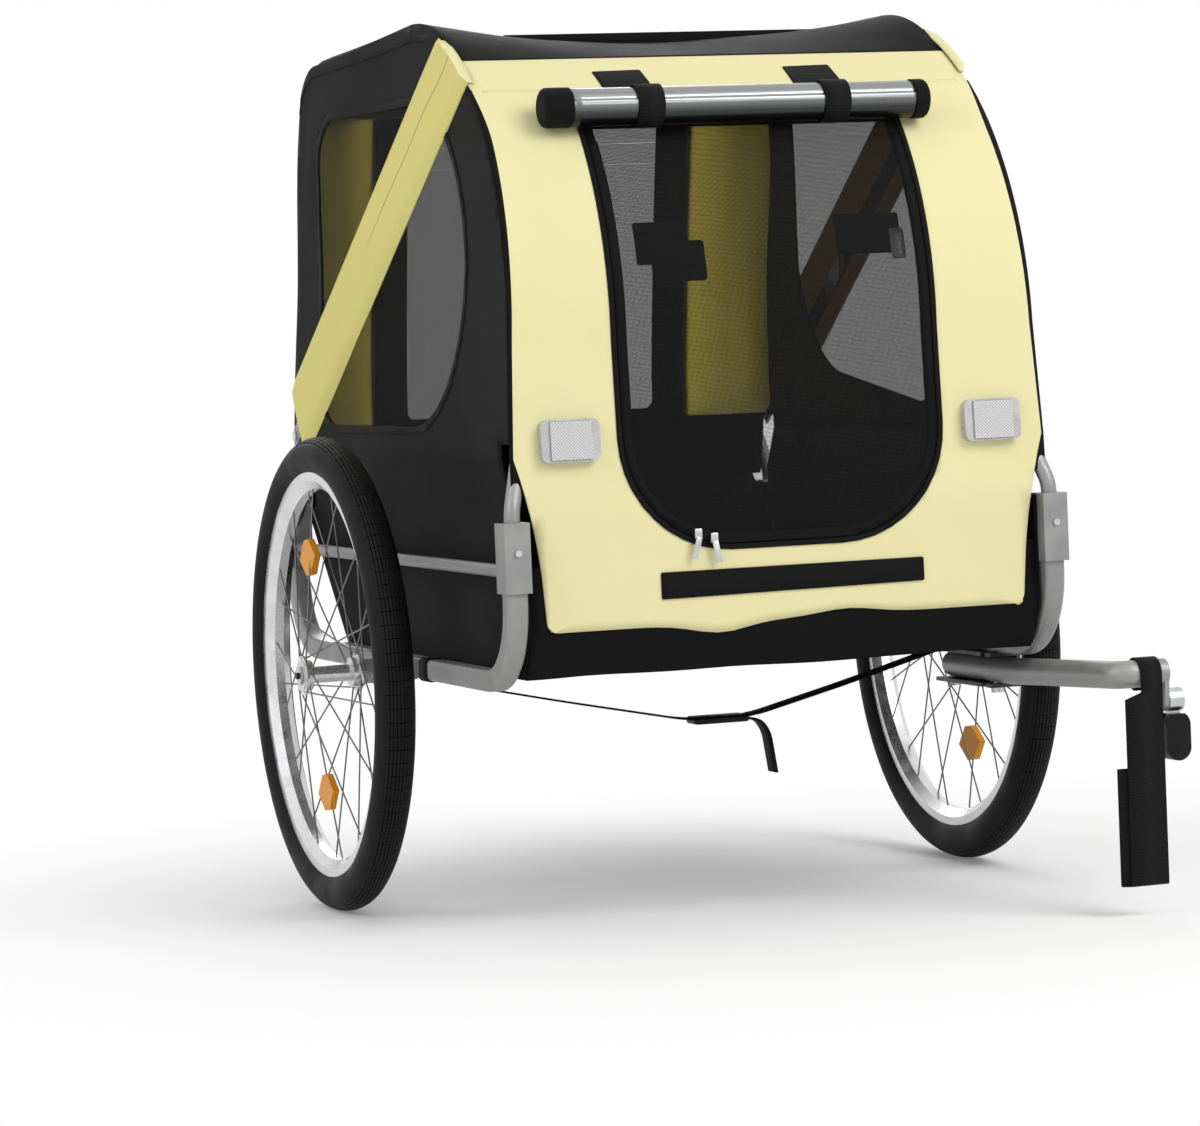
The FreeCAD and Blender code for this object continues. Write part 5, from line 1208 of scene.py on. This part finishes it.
# %% Safety strap
SAFETY_X = (0.2875, 0.3285)
SAFETY_TOP = Vector((0, -0.575, 0.243))
SAFETY_REACH = 0.01555
SAFETY_FRONT = -0.59055
SAFETY_LOW, SAFETY_TURN = 0.0340, 0.150
SAFETY_MOVES = ((0, 0, -0.0175), (0, 0, -0.0065), (0, 0, SAFETY_LOW - SAFETY_TOP.z + 0.024), (0, 0.0012, -0.0016),
                (0, 0.0026, 0), (0, 0.0012, 0.0016), (0, 0, SAFETY_TURN - SAFETY_LOW))
SAFETY_NARROW, SAFETY_SHIFT, WEB = 0.018, 0.009, 0.0025
WRAP_Z, BACK_Y, OUTER_X = SAFETY_TOP.z - SAFETY_REACH - 0.005, SAFETY_FRONT + 0.002, SAFETY_X[1] - 0.001

strap = bmesh.new()
start = strap.verts.new(SAFETY_TOP + Vector((SAFETY_X[0] + SAFETY_NARROW, 0, -SAFETY_REACH)))
turned = bmesh.ops.spin(strap, geom=[start], cent=SAFETY_TOP, axis=X_AXIS, angle=math.radians(270), steps=20,
                        use_duplicate=False)["geom_last"]
last = [item for item in turned if isinstance(item, bmesh.types.BMVert)][0]
for move in SAFETY_MOVES:
    last = bmesh.ops.extrude_vert_indiv(strap, verts=[last])["verts"][0]
    last.co += Vector(move)
agree(strap)
drawn_out(strap, X_AXIS * (SAFETY_X[1] - SAFETY_X[0] - SAFETY_NARROW))
for vert in strap.verts:
    if vert.co.z > WRAP_Z:
        continue
    if vert.co.x < OUTER_X:
        vert.co.x = SAFETY_X[0]
    if vert.co.y > BACK_Y:
        vert.co.x -= SAFETY_SHIFT
cut_cells(strap, (Z_AXIS,), FINE_CELL)
face_towards(strap, -Y_AXIS)
safety = finished("safety_webbing", strap, [webbing], X_AXIS, Y_AXIS + Z_AXIS, WEB, offset=0.0,
                  body="drawbar")
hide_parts("safety_strap")

# %% Strap under the floor
UNDER_Y, UNDER_WIDTH, UNDER_CLOTH = -0.140, 0.025, 0.002
RAIL_X, RAIL_Z, RAIL_HALF = 0.292, 0.262, 0.0115
UNDER_LINE = ((-0.292, 0.2502), (-0.150, 0.2185), (-0.010, 0.1895), (0.058, 0.1895), (0.180, 0.2195), (0.292, 0.2502))
TAIL_LINE = ((0.050, 0.1872), (0.068, 0.1868), (0.079, 0.172), (0.0855, 0.127))


def bent_line(bm, points, rounding, segments, closed=False):
    """A line through (x, z) points with its corners rounded."""
    verts = [bm.verts.new((x, UNDER_Y - UNDER_WIDTH / 2, z)) for x, z in points]
    for pair in zip(verts, verts[1:] + verts[:1] if closed else verts[1:]):
        bm.edges.new(pair)
    rounded(bm, verts if closed else verts[1:-1], rounding, segments)


under = bmesh.new()
bent_line(under, UNDER_LINE, rounding=0.02, segments=4)
bent_line(under, TAIL_LINE, rounding=0.008, segments=4)
for side in (1, -1):
    corners = [(side * RAIL_X + a * RAIL_HALF, RAIL_Z + b * RAIL_HALF) for a, b in ((-1, -1), (1, -1), (1, 1), (-1, 1))]
    bent_line(under, corners, rounding=0.004, segments=3, closed=True)
drawn_out(under, Y_AXIS * UNDER_WIDTH)
agree(under)
under_webbing = finished("under_webbing", under, [webbing], Y_AXIS, X_AXIS + Z_AXIS, UNDER_CLOTH, offset=0.0)
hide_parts("under_strap")

# %% Slide buckle
BUCKLE_PLACE, BUCKLE_SIZE = (0.024, UNDER_Y, 0.1885), (0.062, 0.031, 0.008, 1)
BUCKLE_ROUND = 0.003

buckle = bmesh.new()
bmesh.ops.create_cube(buckle, size=1.0, matrix=Matrix.Translation(BUCKLE_PLACE) @ Matrix.Diagonal(BUCKLE_SIZE))
rounded(buckle, buckle.edges[:], BUCKLE_ROUND, 3, "EDGES")
finished("slide_buckle", buckle, [HARD["black_plastic"]])

# %% [markdown]
# ## Tyres
# A tyre is a round section turned about the axle. Its crown carries rows of small tread blocks: the faces there are
# inset one by one and raised, which is quicker than modelling a block and copying it.

# %% Tyres
WHEEL_X, WHEEL_RADIUS, SECTION, BEAD = 0.3637, 0.254, 0.021, 0.2167
TREAD, GROOVE, CROWN = 0.0012, 0.0006, 0.0062
STEPS = 110

for side_name, side in SIDES:
    tyre = bmesh.new()
    middle = Matrix.Translation((0, 0, WHEEL_RADIUS - SECTION)) @ Matrix.Rotation(math.radians(90), 4, "X")
    bmesh.ops.create_circle(tyre, cap_ends=False, segments=36, radius=SECTION, matrix=middle)
    cut_at(tyre, Z_AXIS, BEAD, clear_inner=True)
    tyre.edges.new([vert for vert in tyre.verts if len(vert.link_edges) == 1])
    bmesh.ops.spin(tyre, geom=tyre.verts[:] + tyre.edges[:], cent=(0, 0, 0), axis=X_AXIS, angle=TURN, steps=STEPS,
                   use_merge=True, use_duplicate=False)
    bmesh.ops.remove_doubles(tyre, verts=tyre.verts, dist=MERGE)
    agree(tyre)
    crown = [face for face in tyre.faces if face.calc_center_median().yz.length > WHEEL_RADIUS - CROWN]
    for vert in {vert for face in crown for vert in face.verts}:
        vert.co.yz = vert.co.yz * (1 - TREAD / WHEEL_RADIUS)
    bmesh.ops.inset_individual(tyre, faces=crown, thickness=GROOVE, depth=TREAD)
    bmesh.ops.translate(tyre, vec=(side * WHEEL_X, 0, WHEEL_RADIUS), verts=tyre.verts)
    made = finished("tread_tyre_" + side_name, tyre, [HARD["tyre"]], body="wheel_" + side_name)
    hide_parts("tyre_" + side_name)

# %% [markdown]

print("all pieces made")
